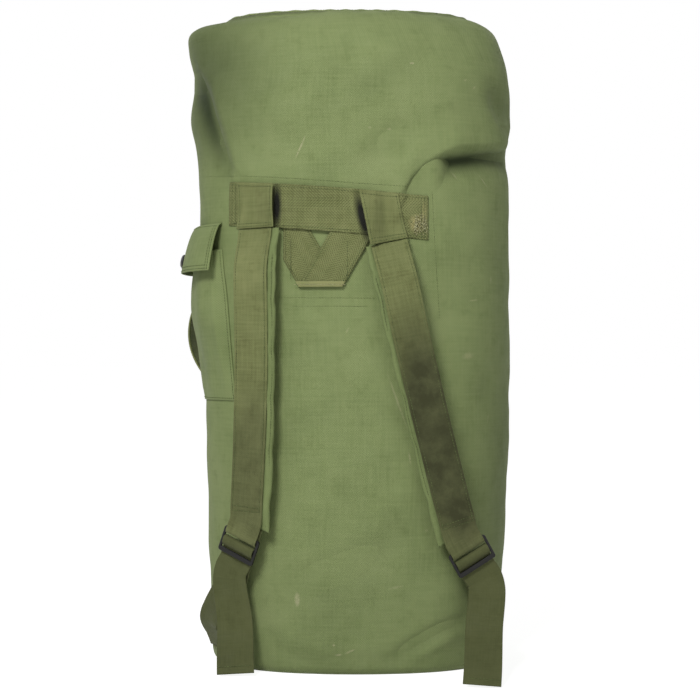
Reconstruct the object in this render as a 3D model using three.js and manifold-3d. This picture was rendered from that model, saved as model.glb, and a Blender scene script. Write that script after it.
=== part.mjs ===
// A top-loading nylon duffel bag with two padded shoulder straps, stuffed, closed and standing on its base.
// Millimetres, +Z up. The straps face -Y, the side pocket and the side handle face -X, the mouth is on top.
// The origin is the middle of the base panel's underside.

import * as THREE from 'three';
import { mergeVertices } from 'three/addons/utils/BufferGeometryUtils.js';
import Module from 'manifold-3d';

const wasm = await Module();
wasm.setup();

// Driving sizes of the body
const BODY_HEIGHT = 787;
const BODY_WIDTH = 380;
const BODY_DEPTH = 296;
const SECTION_SQUARENESS = 2.3;
const WALL = 2;
const CLEARANCE = 0.3;
const BASE_PANEL_THICKNESS = 2.4;

// The filled outline, from the base edge to the mouth. Each row holds shares of the body's height,
// half width and half depth, and how far the section leans sideways as a share of the half width.
const profileShares = [
  [0.0034, 0.895, 0.905, 0],
  [0.018, 0.937, 0.953, 0],
  [0.104, 0.942, 0.973, -0.005],
  [0.246, 0.974, 0.993, 0.01],
  [0.484, 0.997, 1, 0.005],
  [0.642, 1.008, 1, -0.01],
  [0.737, 1.016, 0.993, -0.016],
  [0.8, 1.013, 0.986, -0.03],
  [0.848, 1.042, 1, -0.037],
  [0.911, 1.03, 0.973, -0.03],
  [0.952, 1.026, 0.905, -0.063],
  [0.977, 1.01, 0.83, -0.088],
  [0.99, 0.96, 0.76, -0.09],
  [0.997, 0.88, 0.69, -0.07],
  [1, 0.8, 0.63, -0.05],
];

// Webbing, bands and cloth
const STRAP_WEB_WIDTH = 43.7;
const BAND_WIDTH = 50.8;
const WEB_THICKNESS = 1.8;
const CLOTH_THICKNESS = 1.5;
const FLAP_THICKNESS = 2.2;

// Yoke on the strap side: heights and sideways places of the band and of the crossed webs
const BAND_LEFT_END = -150;
const BAND_RIGHT_END = 84;
const BAND_LEFT_HEIGHT = 556;
const BAND_RIGHT_HEIGHT = 537;
const YOKE_MIDDLE = -41;
const YOKE_NOTCH_HEIGHT = 500;
const YOKE_FOOT_HEIGHT = 457;
const YOKE_TRIM = 43.5;
const YOKE_REACH = 60;
const YOKE_HEAD_HEIGHT = 535;
const YOKE_WEB_SLOPE = Math.PI / 3;
const YOKE_RAMP = 16;

// Inside: reinforcement behind the straps, base seam binding. Outside: the back seam.
const REINFORCEMENT_LEFT = -150;
const REINFORCEMENT_RIGHT = 95;
const REINFORCEMENT_TOP = 578;
const REINFORCEMENT_BOTTOM = 300;
const LINING_GAP = 0.9;
const BINDING_HEIGHT = 12;
const BINDING_THICKNESS = 1.6;
const SEAM_WIDTH = 14;
const SEAM_BOTTOM = 16;
const SEAM_TOP = 700;

// Shoulder straps. Places are sideways and upward on the strap side, and angles are in radians.
const PAD_WIDTH = 53;
const PAD_THICKNESS = 9;
const PAD_OFFSET = 4;
const PAD_HEAD_LIFT = 5.4;
const STRAP_LIFT = 19;
const STRAP_LIFT_SHARE = 0.16;
const PAD_TAPER_SHARE = 0.07;
const PAD_END_SHARE = 0.4;
const ROLL_START_SHARE = 0.82;
const STRAP_GAP = 0.8;
const straps = {
  left: {
    side: -1, headX: -115, headHeight: 524, endX: -117, endHeight: 182, bow: 4, roll: -0.32, facing: 1,
    tailShift: -3, tailForward: 16,
  },
  right: {
    side: 1, headX: 38, headHeight: 507, endX: 112, endHeight: 168, bow: -2, roll: 0.27, facing: 0.55,
    tailShift: 0, tailForward: 66,
  },
};

// Three-bar slides
const SLIDE_WIDTH = 51;
const SLIDE_TOP_BAR = 5;
const SLIDE_MIDDLE_BAR = 4.5;
const SLIDE_BOTTOM_BAR = 5.5;
const SLIDE_SLOT = 8.2;
const SLIDE_SIDE_RAIL = 3.2;
const SLIDE_THICKNESS = 3.2;
const SLIDE_CORNER = 3;
const WEB_CLEARANCE = 0.6;
const LOOP_EASE = 0.9;
const CHAPE_LENGTH = 16;
const CHAPE_RETURN_GAP = 2.5;

// Hanging tails and load webs
const TAIL_FLOOR_GAP = 6;
const TAIL_START = 5;
const TAIL_LEAD = 3;
const TAIL_KNEE_SHARE = 0.3;
const TAIL_DIP_SHARES = [[1.6, 1.5], [3, 0], [4.3, -1.7]];
const ANCHOR_REACH = 186;
const ANCHOR_HEIGHT = 37;
const ANCHOR_TALL = 34;
const LOAD_WEB_BULGE = 19;
const LOAD_WEB_BULGE_HEIGHT = 72;
const LOAD_WEB_DROP = 16;
const LOAD_WEB_LEAD = 3;
const LOAD_WEB_GAP = 0.9;
const LOAD_WEB_SET_BACK = 5;
const LOAD_WEB_TURN_SHARE = 0.55;
const LOAD_WEB_LAYERS = 1.5;

// Side pocket and its flap, measured round the bag from the middle of the left side
const POCKET_FRONT_EDGE = 104;
const POCKET_BACK_EDGE = -88;
const POCKET_BOTTOM = 322;
const POCKET_TOP = 502;
const POCKET_FULLNESS = 17;
const POCKET_MOUTH_LIFT = 6.6;
const POCKET_GUSSET = 16;
const POCKET_SLACKEN_SHARE = 0.55;
const HEM_EASE = 0.5;
const FLAP_TOP = 534;
const FLAP_LENGTH = 56;
const FLAP_LIFT = 22;
const FLAP_CURVE = 0.55;
const SNAP_PLACE = 8;
const SNAP_BELOW_FLAP_TOP = 41;
const SNAP_CAP_RADIUS = 8.5;
const SNAP_CAP_HEIGHT = 3.6;
const SNAP_SOCKET_RADIUS = 7;
const SNAP_SOCKET_BORE = 5;
const SNAP_SOCKET_HEIGHT = 2.6;
const SNAP_STUD_RADIUS = 3.2;
const SNAP_STUD_FLANGE = 5.4;
const SNAP_STUD_FLANGE_HEIGHT = 1.2;
const SNAP_STUD_HEIGHT = 4;
const SNAP_SEAT = 0.9;
const CAP_CROWN_SHARES = [[1, 0.3], [0.8, 0.75], [0.4, 0.97]];
const STUD_NECK_SHARE = 0.85;
const STUD_CROWN_SHARES = [[1, 0.75], [0.7, 1]];

// Side handle, measured round the bag from the middle of the left side
const HANDLE_PLACE = -124;
const HANDLE_MIDDLE = 402;
const HANDLE_SPAN = 190;
const HANDLE_ARCH = 62;
const HANDLE_LEAN = 0.42;
const HANDLE_END_WIDTH = 9;
const HANDLE_END_LIFT = 4.2;
const HANDLE_PATCH_TALL = 34;
const HANDLE_PATCH_THICKNESS = 3.9;
const HANDLE_THICKNESS = 2.4;
const HANDLE_ARCH_SHARPNESS = 0.8;
const HANDLE_SEWN_SHARE = 0.02;
const HANDLE_SPREAD_SHARE = 0.6;

// Mouth: hem, four folded-in parts and their tongues
const HEM_INSET = 0.9;
const HEM_WIDTH = 16;
const HEM_THICKNESS = 3.6;
const HEM_DROP = 3;
const MOUTH_PART_THICKNESS = 3;
const MOUTH_SINK = 12;
const MOUTH_FLAT_SHARE = 0.78;
const MOUTH_FLOOR_SHARE = 0.36;
const MOUTH_GAP = 1.6;
const MOUTH_CORNER_ANGLE = 0.56;
const SIDE_PART_TIP_SHARE = 0.21;
const FRONT_PART_TIP_SHARE = 0.28;
const BACK_PART_TIP_SHARE = 0.12;
const TONGUE_WIDTH = 40;
const TONGUE_THICKNESS = 1.8;
const TONGUE_TIP = 21;
const TONGUE_ROOT_SHARE = 0.62;
const TONGUE_STEP_REACH = 26;
const TONGUE_STEP_RUN = 22;
const TONGUE_HOLE_TALL = 4;

// Grommets, staple and its plate
const GROMMET_BORE = 12.5;
const GROMMET_BARREL = 14;
const GROMMET_RADIUS = 18;
const GROMMET_FLANGE = 0.6;
const STACK_GAP = 0.3;
const STAPLE_WIDTH = 15;
const STAPLE_WIRE = 1.9;
const STAPLE_HOOK_ROOM = 7;
const STAPLE_CROWN_SHARE = 0.3;
const STAPLE_PLATE_LENGTH = 36;
const STAPLE_PLATE_WIDTH = 26;
const STAPLE_PLATE_THICKNESS = 1.2;

// Snap hook and its web tab, which hang on the back below the mouth
const HOOK_PATCH_HEIGHT = 724;
const HOOK_PATCH_TALL = 26;
const HOOK_TAB_WIDTH = 25.4;
const HOOK_TAB_DROP = 70;
const HOOK_TAB_LIFT = 14;
const HOOK_TAB_SHARES = [[0, 0], [0.2, 0.1], [0.85, 0.4]];
const HOOK_TAB_SEWN_SHARES = [0.3, 0.22];
const HOOK_WIRE = 2.3;
const HOOK_EYE_WIDTH = 31;
const HOOK_EYE_HEIGHT = 16;
const HOOK_BOSS_RADIUS = 4.6;
const HOOK_BOSS_HEIGHT = 5;
const HOOK_PIN_RADIUS = 2;
const HOOK_PIN_GAP = 0.35;
const HOOK_PIN_HEAD = 3.6;
const HOOK_PIN_HEAD_HEIGHT = 1.6;
const HOOK_COLLAR_RADIUS = 4.6;
const HOOK_COLLAR_HEIGHT = 7;
const HOOK_BEND_RADIUS = 8.5;
const HOOK_SHANK = 26;
const HOOK_TIP_RISE = 9;
const GATE_WIRE = 1.5;
const GATE_TIP_GAP = 0.6;
const GATE_PIVOT_REACH = 7.8;
const GATE_PIVOT_DROP = 1;
const GATE_BARREL_RADIUS = 2.3;
const GATE_BARREL_LENGTH = 4;
const GATE_LUG_LENGTH = 8.7;
const GATE_LUG_THICKNESS = 1.4;
const GATE_LUG_TALL = 6;
const GATE_PIN_RADIUS = 1;
const GATE_PIN_GAP = 0.05;

// Facets
const BODY_SEGMENTS = 40;
const BODY_ROWS = 24;
const ROUND_SEGMENTS = 16;
const WIRE_SEGMENTS = 6;
const TOOL_OVERRUN = 4;
const STRAP_ROWS = 24;
const TAIL_ROWS = 12;
const LOAD_WEB_ROWS = 18;
const HANDLE_ROWS = 20;
const POCKET_COLUMNS = 20;
const POCKET_ROWS = 10;
const SEAM_ROWS = 30;
const HOOK_BEND_STEPS = 6;
const SURFACE_STEP = 1e-3;
const ARC_STEPS = 60;
const WELD = 1e-4;

// Directions round the bag
const UP = new THREE.Vector3(0, 0, 1);
const RIGHT = 0;
const BACK = Math.PI / 2;
const LEFT = Math.PI;
const FRONT = -Math.PI / 2;

const nylon = { color: 0x6f8056, roughness: 0.85, metalness: 0 };
const webbing = { color: 0x66683c, roughness: 0.9, metalness: 0 };
const darkWebbing = { color: 0x51562b, roughness: 0.9, metalness: 0 };
const blackPlastic = { color: 0x222226, roughness: 0.45, metalness: 0 };
const blackMetal = { color: 0x2a2a2c, roughness: 0.4, metalness: 0.7 };
const darkBrass = { color: 0x6d6248, roughness: 0.45, metalness: 0.9 };

const bag = new THREE.Group();

// Turns a closed triangle list so that its faces point out.
function closedGeometry(points, triangles) {
  let volume = 0;
  for (const [i, j, k] of triangles) {
    volume += points[i].dot(new THREE.Vector3().crossVectors(points[j], points[k]));
  }
  const turned = volume < 0 ? triangles.map(([i, j, k]) => [i, k, j]) : triangles;
  const geometry = new THREE.BufferGeometry();
  const numbers = points.flatMap((point) => point.toArray());
  geometry.setAttribute('position', new THREE.Float32BufferAttribute(numbers, 3));
  geometry.setIndex(turned.flat());
  return geometry;
}

function add(name, geometry, finish, parent = bag) {
  const mesh = new THREE.Mesh(geometry, new THREE.MeshStandardMaterial(finish));
  mesh.name = name;
  parent.add(mesh);
  return mesh;
}

// Two triangles for the cell whose corners are a, b, c and d in order.
function cell(triangles, a, b, c, d) {
  triangles.push([a, b, c], [a, c, d]);
}

// A sheet with thickness: outer and inner give a point for (u, v), both from 0 to 1.
function slab(outer, inner, columns, rows) {
  const points = [];
  const triangles = [];
  const stride = columns + 1;
  const layer = stride * (rows + 1);
  for (const surface of [outer, inner]) {
    for (let j = 0; j <= rows; j += 1) {
      for (let i = 0; i <= columns; i += 1) points.push(surface(i / columns, j / rows));
    }
  }
  for (let j = 0; j < rows; j += 1) {
    for (let i = 0; i < columns; i += 1) {
      const a = j * stride + i;
      cell(triangles, a, a + 1, a + stride + 1, a + stride);
      cell(triangles, layer + a, layer + a + stride, layer + a + stride + 1, layer + a + 1);
    }
  }
  const border = [];
  for (let i = 0; i < columns; i += 1) border.push(i);
  for (let j = 0; j < rows; j += 1) border.push(j * stride + columns);
  for (let i = columns; i > 0; i -= 1) border.push(rows * stride + i);
  for (let j = rows; j > 0; j -= 1) border.push(j * stride);
  border.forEach((a, index) => {
    const b = border[(index + 1) % border.length];
    cell(triangles, b, a, layer + a, layer + b);
  });
  return closedGeometry(points, triangles);
}

// An open tube with a wall: outer and inner give a point for (angle, v), v from 0 to 1.
function sleeve(outer, inner, segments, rows) {
  const points = [];
  const triangles = [];
  const layer = segments * (rows + 1);
  for (const surface of [outer, inner]) {
    for (let j = 0; j <= rows; j += 1) {
      for (let i = 0; i < segments; i += 1) points.push(surface((2 * Math.PI * i) / segments, j / rows));
    }
  }
  const at = (level, j, i) => level * layer + j * segments + (i % segments);
  for (let i = 0; i < segments; i += 1) {
    for (let j = 0; j < rows; j += 1) {
      cell(triangles, at(0, j, i), at(0, j, i + 1), at(0, j + 1, i + 1), at(0, j + 1, i));
      cell(triangles, at(1, j, i), at(1, j + 1, i), at(1, j + 1, i + 1), at(1, j, i + 1));
    }
    cell(triangles, at(0, 0, i + 1), at(0, 0, i), at(1, 0, i), at(1, 0, i + 1));
    cell(triangles, at(0, rows, i), at(0, rows, i + 1), at(1, rows, i + 1), at(1, rows, i));
  }
  return closedGeometry(points, triangles);
}

// A solid through closed rings of points, all with the same count. Without caps it closes on itself.
function loft(rings, capped = true) {
  const points = rings.flat();
  const count = rings[0].length;
  const triangles = [];
  const spans = capped ? rings.length - 1 : rings.length;
  for (let j = 0; j < spans; j += 1) {
    const here = j * count;
    const next = ((j + 1) % rings.length) * count;
    for (let i = 0; i < count; i += 1) {
      const other = (i + 1) % count;
      cell(triangles, here + i, here + other, next + other, next + i);
    }
  }
  if (capped) {
    const last = (rings.length - 1) * count;
    for (let i = 1; i < count - 1; i += 1) {
      triangles.push([0, i + 1, i], [last, last + i, last + i + 1]);
    }
  }
  return closedGeometry(points, triangles);
}

// A flat web along a path. Each frame holds a place, the direction across the web and its outward face.
function ribbon(frames, width, thickness) {
  return loft(frames.map(({ place, across, out }) => [[-1, -1], [1, -1], [1, 1], [-1, 1]].map(([s, t]) => (
    place.clone().addScaledVector(across, (s * width) / 2).addScaledVector(out, (t * thickness) / 2)
  ))));
}

// A round wire along a smooth path through the given places.
function wire(places, radius, steps, closed = false) {
  const path = new THREE.CatmullRomCurve3(places, closed, 'centripetal');
  const ringCount = closed ? steps : steps + 1;
  const frames = path.computeFrenetFrames(steps, closed);
  const rings = [];
  for (let j = 0; j < ringCount; j += 1) {
    const middle = path.getPointAt(j / steps);
    const ring = [];
    for (let i = 0; i < WIRE_SEGMENTS; i += 1) {
      const angle = (2 * Math.PI * i) / WIRE_SEGMENTS;
      ring.push(middle.clone()
        .addScaledVector(frames.normals[j], radius * Math.cos(angle))
        .addScaledVector(frames.binormals[j], radius * Math.sin(angle)));
    }
    rings.push(ring);
  }
  return loft(rings, !closed);
}

// A turned piece. The profile runs along the axis, which becomes +Z, as [radius, height] pairs.
function turned(profile) {
  const outline = profile.map(([radius, height]) => new THREE.Vector2(radius, height));
  const geometry = new THREE.LatheGeometry(outline, ROUND_SEGMENTS);
  geometry.rotateX(Math.PI / 2);
  geometry.deleteAttribute('normal');
  geometry.deleteAttribute('uv');
  const merged = mergeVertices(geometry, WELD);
  const place = merged.getAttribute('position');
  const points = [];
  for (let i = 0; i < place.count; i += 1) points.push(new THREE.Vector3().fromBufferAttribute(place, i));
  const index = merged.getIndex().array;
  const triangles = [];
  for (let i = 0; i < index.length; i += 3) {
    const corner = [index[i], index[i + 1], index[i + 2]];
    if (new Set(corner).size === 3) triangles.push(corner);
  }
  return closedGeometry(points, triangles);
}

function toManifold(geometry) {
  const bare = geometry.clone();
  bare.deleteAttribute('normal');
  bare.deleteAttribute('uv');
  const merged = mergeVertices(bare, WELD);
  return new wasm.Manifold(new wasm.Mesh({
    numProp: 3,
    vertProperties: new Float32Array(merged.getAttribute('position').array),
    triVerts: new Uint32Array(merged.getIndex().array),
  }));
}

function fromManifold(solid) {
  const { vertProperties, triVerts } = solid.getMesh();
  const geometry = new THREE.BufferGeometry();
  geometry.setAttribute('position', new THREE.BufferAttribute(new Float32Array(vertProperties), 3));
  geometry.setIndex(new THREE.BufferAttribute(new Uint32Array(triVerts), 1));
  return geometry;
}

function cut(body, ...tools) {
  return fromManifold(tools.reduce((solid, tool) => solid.subtract(toManifold(tool)), toManifold(body)));
}

function join(body, ...others) {
  return fromManifold(others.reduce((solid, other) => solid.add(toManifold(other)), toManifold(body)));
}

// The body's filled surface
const smooth = (share) => share * share * (3 - 2 * share);
const clamp = (value) => Math.min(1, Math.max(0, value));

function stationAt(share) {
  const spans = profileShares.length - 1;
  const index = Math.min(spans - 1, Math.floor(clamp(share) * spans));
  const t = clamp(share) * spans - index;
  const row = (offset) => profileShares[Math.min(spans, Math.max(0, index + offset))];
  const blend = (column) => {
    const [before, from, to, after] = [-1, 0, 1, 2].map((offset) => row(offset)[column]);
    const leave = (to - before) / 2;
    const arrive = (after - from) / 2;
    return from + leave * t + (3 * (to - from) - 2 * leave - arrive) * t ** 2
      + (2 * (from - to) + leave + arrive) * t ** 3;
  };
  return {
    height: blend(0) * BODY_HEIGHT,
    halfWidth: (blend(1) * BODY_WIDTH) / 2,
    halfDepth: (blend(2) * BODY_DEPTH) / 2,
    lean: (blend(3) * BODY_WIDTH) / 2,
  };
}

function sectionRadius(angle, halfWidth, halfDepth) {
  const across = Math.abs(Math.cos(angle) / halfWidth) ** SECTION_SQUARENESS;
  const deep = Math.abs(Math.sin(angle) / halfDepth) ** SECTION_SQUARENESS;
  return (across + deep) ** (-1 / SECTION_SQUARENESS);
}

function surfacePoint(angle, share) {
  const { height, halfWidth, halfDepth, lean } = stationAt(share);
  const radius = sectionRadius(angle, halfWidth, halfDepth);
  return new THREE.Vector3(lean + radius * Math.cos(angle), radius * Math.sin(angle), height);
}

function surfaceNormal(angle, share) {
  const round = surfacePoint(angle + SURFACE_STEP, share).sub(surfacePoint(angle - SURFACE_STEP, share));
  const up = surfacePoint(angle, Math.min(1, share + SURFACE_STEP))
    .sub(surfacePoint(angle, Math.max(0, share - SURFACE_STEP)));
  return round.cross(up).normalize();
}

function lifted(angle, share, lift) {
  return surfacePoint(angle, share).addScaledVector(surfaceNormal(angle, share), lift);
}

function shareAtHeight(height) {
  let low = 0;
  let high = 1;
  while (high - low > SURFACE_STEP / ARC_STEPS) {
    const middle = (low + high) / 2;
    if (stationAt(middle).height < height) low = middle;
    else high = middle;
  }
  return (low + high) / 2;
}

// The angle reached by going a distance round the bag at one height, starting from a given direction.
function angleAlong(start, distance, share) {
  let angle = start;
  const stride = distance / ARC_STEPS;
  for (let i = 0; i < ARC_STEPS; i += 1) {
    const pace = surfacePoint(angle + SURFACE_STEP, share).distanceTo(surfacePoint(angle, share));
    angle += (stride / pace) * SURFACE_STEP;
  }
  return angle;
}

function wrapped(start, distance, height, lift) {
  const share = shareAtHeight(height);
  return lifted(angleAlong(start, distance, share), share, lift);
}

// The direction of the point on the strap side that lies at x.
function frontAngle(x, share) {
  const { halfWidth, halfDepth, lean } = stationAt(share);
  const reach = Math.min(1, Math.abs((x - lean) / halfWidth));
  const y = -halfDepth * (1 - reach ** SECTION_SQUARENESS) ** (1 / SECTION_SQUARENESS);
  return Math.atan2(y, x - lean);
}

function frontPoint(x, height, lift) {
  const share = shareAtHeight(height);
  return lifted(frontAngle(x, share), share, lift);
}

// A piece sewn on the strap side. place gives [x, height] for (u, v) and lift the height of its underside.
function sewnOn(place, lift, thickness, columns, rows) {
  const surface = (extra) => (u, v) => {
    const [x, height] = place(u, v);
    return frontPoint(x, height, lift(x, height) + extra);
  };
  return slab(surface(thickness), surface(0), columns, rows);
}

// Body
function addBody() {
  const innerShell = (angle, v) => lifted(angle, v, -WALL);
  add('body_shell', sleeve(surfacePoint, innerShell, BODY_SEGMENTS, BODY_ROWS), nylon);

  const base = stationAt(0);
  const baseRing = (height, margin) => {
    const ring = [];
    for (let i = 0; i < BODY_SEGMENTS; i += 1) {
      const angle = (2 * Math.PI * i) / BODY_SEGMENTS;
      const radius = sectionRadius(angle, base.halfWidth, base.halfDepth) - margin;
      ring.push(new THREE.Vector3(base.lean + radius * Math.cos(angle), radius * Math.sin(angle), height));
    }
    return ring;
  };
  add('base_panel', loft([baseRing(0, 0), baseRing(BASE_PANEL_THICKNESS, 0)]), nylon);

  const bindingFoot = BASE_PANEL_THICKNESS + CLEARANCE;
  const bindingInset = WALL + CLEARANCE;
  const bindingWall = (margin) => (angle, v) => {
    const radius = sectionRadius(angle, base.halfWidth, base.halfDepth) - margin;
    return new THREE.Vector3(
      base.lean + radius * Math.cos(angle), radius * Math.sin(angle), bindingFoot + v * BINDING_HEIGHT,
    );
  };
  add('base_binding', sleeve(
    bindingWall(bindingInset), bindingWall(bindingInset + BINDING_THICKNESS), BODY_SEGMENTS, 1,
  ), webbing);

  const seam = (extra) => (u, v) => wrapped(
    BACK, (u - 0.5) * SEAM_WIDTH, SEAM_BOTTOM + v * (SEAM_TOP - SEAM_BOTTOM), CLEARANCE + extra,
  );
  add('back_seam', slab(seam(CLOTH_THICKNESS), seam(0), 2, SEAM_ROWS), nylon);

  const lining = (extra) => (u, v) => frontPoint(
    REINFORCEMENT_LEFT + u * (REINFORCEMENT_RIGHT - REINFORCEMENT_LEFT),
    REINFORCEMENT_BOTTOM + v * (REINFORCEMENT_TOP - REINFORCEMENT_BOTTOM),
    -WALL - LINING_GAP - extra,
  );
  add('back_reinforcement', slab(lining(0), lining(CLOTH_THICKNESS), 10, 6), nylon);
}

// Yoke: two webs crossed in a V below a band, and the strap heads sewn over the band
const yokeRun = 1 / Math.tan(YOKE_WEB_SLOPE);
const yokeSpread = STRAP_WEB_WIDTH / Math.sin(YOKE_WEB_SLOPE);
const yokeLayer = WEB_THICKNESS + CLEARANCE;

function bandHeight(x) {
  const share = (x - BAND_LEFT_END) / (BAND_RIGHT_END - BAND_LEFT_END);
  return BAND_LEFT_HEIGHT + share * (BAND_RIGHT_HEIGHT - BAND_LEFT_HEIGHT);
}

// The underside of the band rises where the two crossed webs pass below it.
function bandLift(x) {
  const left = YOKE_MIDDLE - YOKE_TRIM - STRAP_GAP;
  const right = YOKE_MIDDLE + YOKE_REACH + STRAP_GAP;
  const rise = smooth(clamp((x - left + YOKE_RAMP) / YOKE_RAMP));
  const fall = smooth(clamp((right + YOKE_RAMP - x) / YOKE_RAMP));
  return CLEARANCE + 2 * yokeLayer * Math.min(rise, fall);
}

function addYoke() {
  const web = (side) => (u, v) => {
    const height = YOKE_FOOT_HEIGHT + v * (YOKE_HEAD_HEIGHT - YOKE_FOOT_HEIGHT);
    const inner = (height - YOKE_NOTCH_HEIGHT) * yokeRun;
    const outer = Math.min(inner + yokeSpread, side < 0 ? YOKE_TRIM : YOKE_REACH);
    return [YOKE_MIDDLE + side * (inner + u * (outer - inner)), height];
  };
  add('yoke_web_left', sewnOn(web(-1), () => CLEARANCE, WEB_THICKNESS, 6, 10), webbing);
  add('yoke_web_right', sewnOn(web(1), () => CLEARANCE + yokeLayer, WEB_THICKNESS, 6, 10), webbing);

  const band = (u, v) => {
    const x = BAND_LEFT_END + u * (BAND_RIGHT_END - BAND_LEFT_END);
    return [x, bandHeight(x) + (v - 0.5) * BAND_WIDTH];
  };
  add('yoke_band', sewnOn(band, bandLift, WEB_THICKNESS, 30, 2), webbing);
}

// Shoulder straps
function strapFoot({ headX, endX, headHeight, endHeight, bow }, v) {
  const x = headX + (endX - headX) * v + bow * Math.sin(Math.PI * v);
  return { x, height: headHeight + (endHeight - headHeight) * v };
}

// The frame of the strap's middle line: its place in the pad, the direction down it, across it and out.
function strapFrame(strap, v) {
  const lift = PAD_HEAD_LIFT + (STRAP_LIFT - PAD_HEAD_LIFT) * smooth(clamp(v / STRAP_LIFT_SHARE));
  const at = (t) => {
    const { x, height } = strapFoot(strap, t);
    return frontPoint(x, height, 0);
  };
  const { x, height } = strapFoot(strap, v);
  const share = shareAtHeight(height);
  const normal = surfaceNormal(frontAngle(x, share), share);
  const down = at(v + SURFACE_STEP).sub(at(v - SURFACE_STEP)).normalize();
  const faced = new THREE.Vector3(0, -1, 0).lerp(normal, 1 + (strap.facing - 1) * v).normalize();
  const across = new THREE.Vector3().crossVectors(faced, down).normalize();
  const out = new THREE.Vector3().crossVectors(down, across).normalize();
  const roll = strap.roll * smooth(clamp((v - ROLL_START_SHARE) / (1 - ROLL_START_SHARE)));
  across.applyAxisAngle(out, roll);
  down.applyAxisAngle(out, roll);
  return { place: frontPoint(x, height, lift), down, across, out };
}

// Frames for a web that follows a list of places, each with the direction across the web there.
function framesAlong(stops) {
  return stops.map(({ place, across }, index) => {
    const before = stops[Math.max(0, index - 1)].place;
    const after = stops[Math.min(stops.length - 1, index + 1)].place;
    const along = after.clone().sub(before).normalize();
    const out = new THREE.Vector3().crossVectors(along, across).normalize();
    return { place, across: new THREE.Vector3().crossVectors(out, along).normalize(), out };
  });
}

// Heights in the slide's own frame, from its middle, and the layers of web that pass through it
const slideHeight = SLIDE_TOP_BAR + SLIDE_MIDDLE_BAR + SLIDE_BOTTOM_BAR + 2 * SLIDE_SLOT;
const slideTop = slideHeight / 2;
const topBarFoot = slideTop - SLIDE_TOP_BAR;
const middleBarHead = topBarFoot - SLIDE_SLOT;
const middleBarFoot = middleBarHead - SLIDE_MIDDLE_BAR;
const bottomBarHead = middleBarFoot - SLIDE_SLOT;
const webLayer = SLIDE_THICKNESS / 2 + WEB_CLEARANCE + WEB_THICKNESS / 2;
const loadLayer = webLayer + WEB_THICKNESS + WEB_CLEARANCE;
const turnReach = WEB_CLEARANCE + WEB_THICKNESS / 2;
const loopFoot = topBarFoot - turnReach - LOOP_EASE;

function slideFrame(strap) {
  const { place, down, across, out } = strapFrame(strap, 1);
  const webPlace = place.clone().addScaledVector(out, PAD_THICKNESS / 2 + CLEARANCE + WEB_THICKNESS / 2);
  const middle = webPlace.addScaledVector(down, CHAPE_LENGTH + slideTop).addScaledVector(out, -webLayer);
  const at = (up, outward) => middle.clone().addScaledVector(down, -up).addScaledVector(out, outward);
  return { middle, down, across, out, at };
}

function slideGeometry() {
  const half = SLIDE_WIDTH / 2;
  const outline = new THREE.Shape();
  outline.moveTo(-half + SLIDE_CORNER, -slideTop);
  outline.lineTo(half - SLIDE_CORNER, -slideTop);
  outline.quadraticCurveTo(half, -slideTop, half, -slideTop + SLIDE_CORNER);
  outline.lineTo(half, slideTop - SLIDE_CORNER);
  outline.quadraticCurveTo(half, slideTop, half - SLIDE_CORNER, slideTop);
  outline.lineTo(-half + SLIDE_CORNER, slideTop);
  outline.quadraticCurveTo(-half, slideTop, -half, slideTop - SLIDE_CORNER);
  outline.lineTo(-half, -slideTop + SLIDE_CORNER);
  outline.quadraticCurveTo(-half, -slideTop, -half + SLIDE_CORNER, -slideTop);
  const slotEnd = half - SLIDE_SIDE_RAIL;
  for (const [foot, head] of [[middleBarHead, topBarFoot], [bottomBarHead, middleBarFoot]]) {
    const slot = new THREE.Path();
    slot.moveTo(-slotEnd, foot);
    slot.lineTo(-slotEnd, head);
    slot.lineTo(slotEnd, head);
    slot.lineTo(slotEnd, foot);
    slot.closePath();
    outline.holes.push(slot);
  }
  const geometry = new THREE.ExtrudeGeometry(outline, {
    depth: SLIDE_THICKNESS, bevelEnabled: false, curveSegments: 4,
  });
  geometry.translate(0, 0, -SLIDE_THICKNESS / 2);
  return geometry;
}

const padSectionShares = [[-1, 0], [-0.93, -0.7], [-0.7, -1], [0.7, -1], [0.93, -0.7], [1, 0], [0.93, 0.7],
  [0.7, 1], [-0.7, 1], [-0.93, 0.7]];
const webOverPad = (head) => (head * PAD_THICKNESS) / 2 + CLEARANCE + WEB_THICKNESS / 2;

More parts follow.
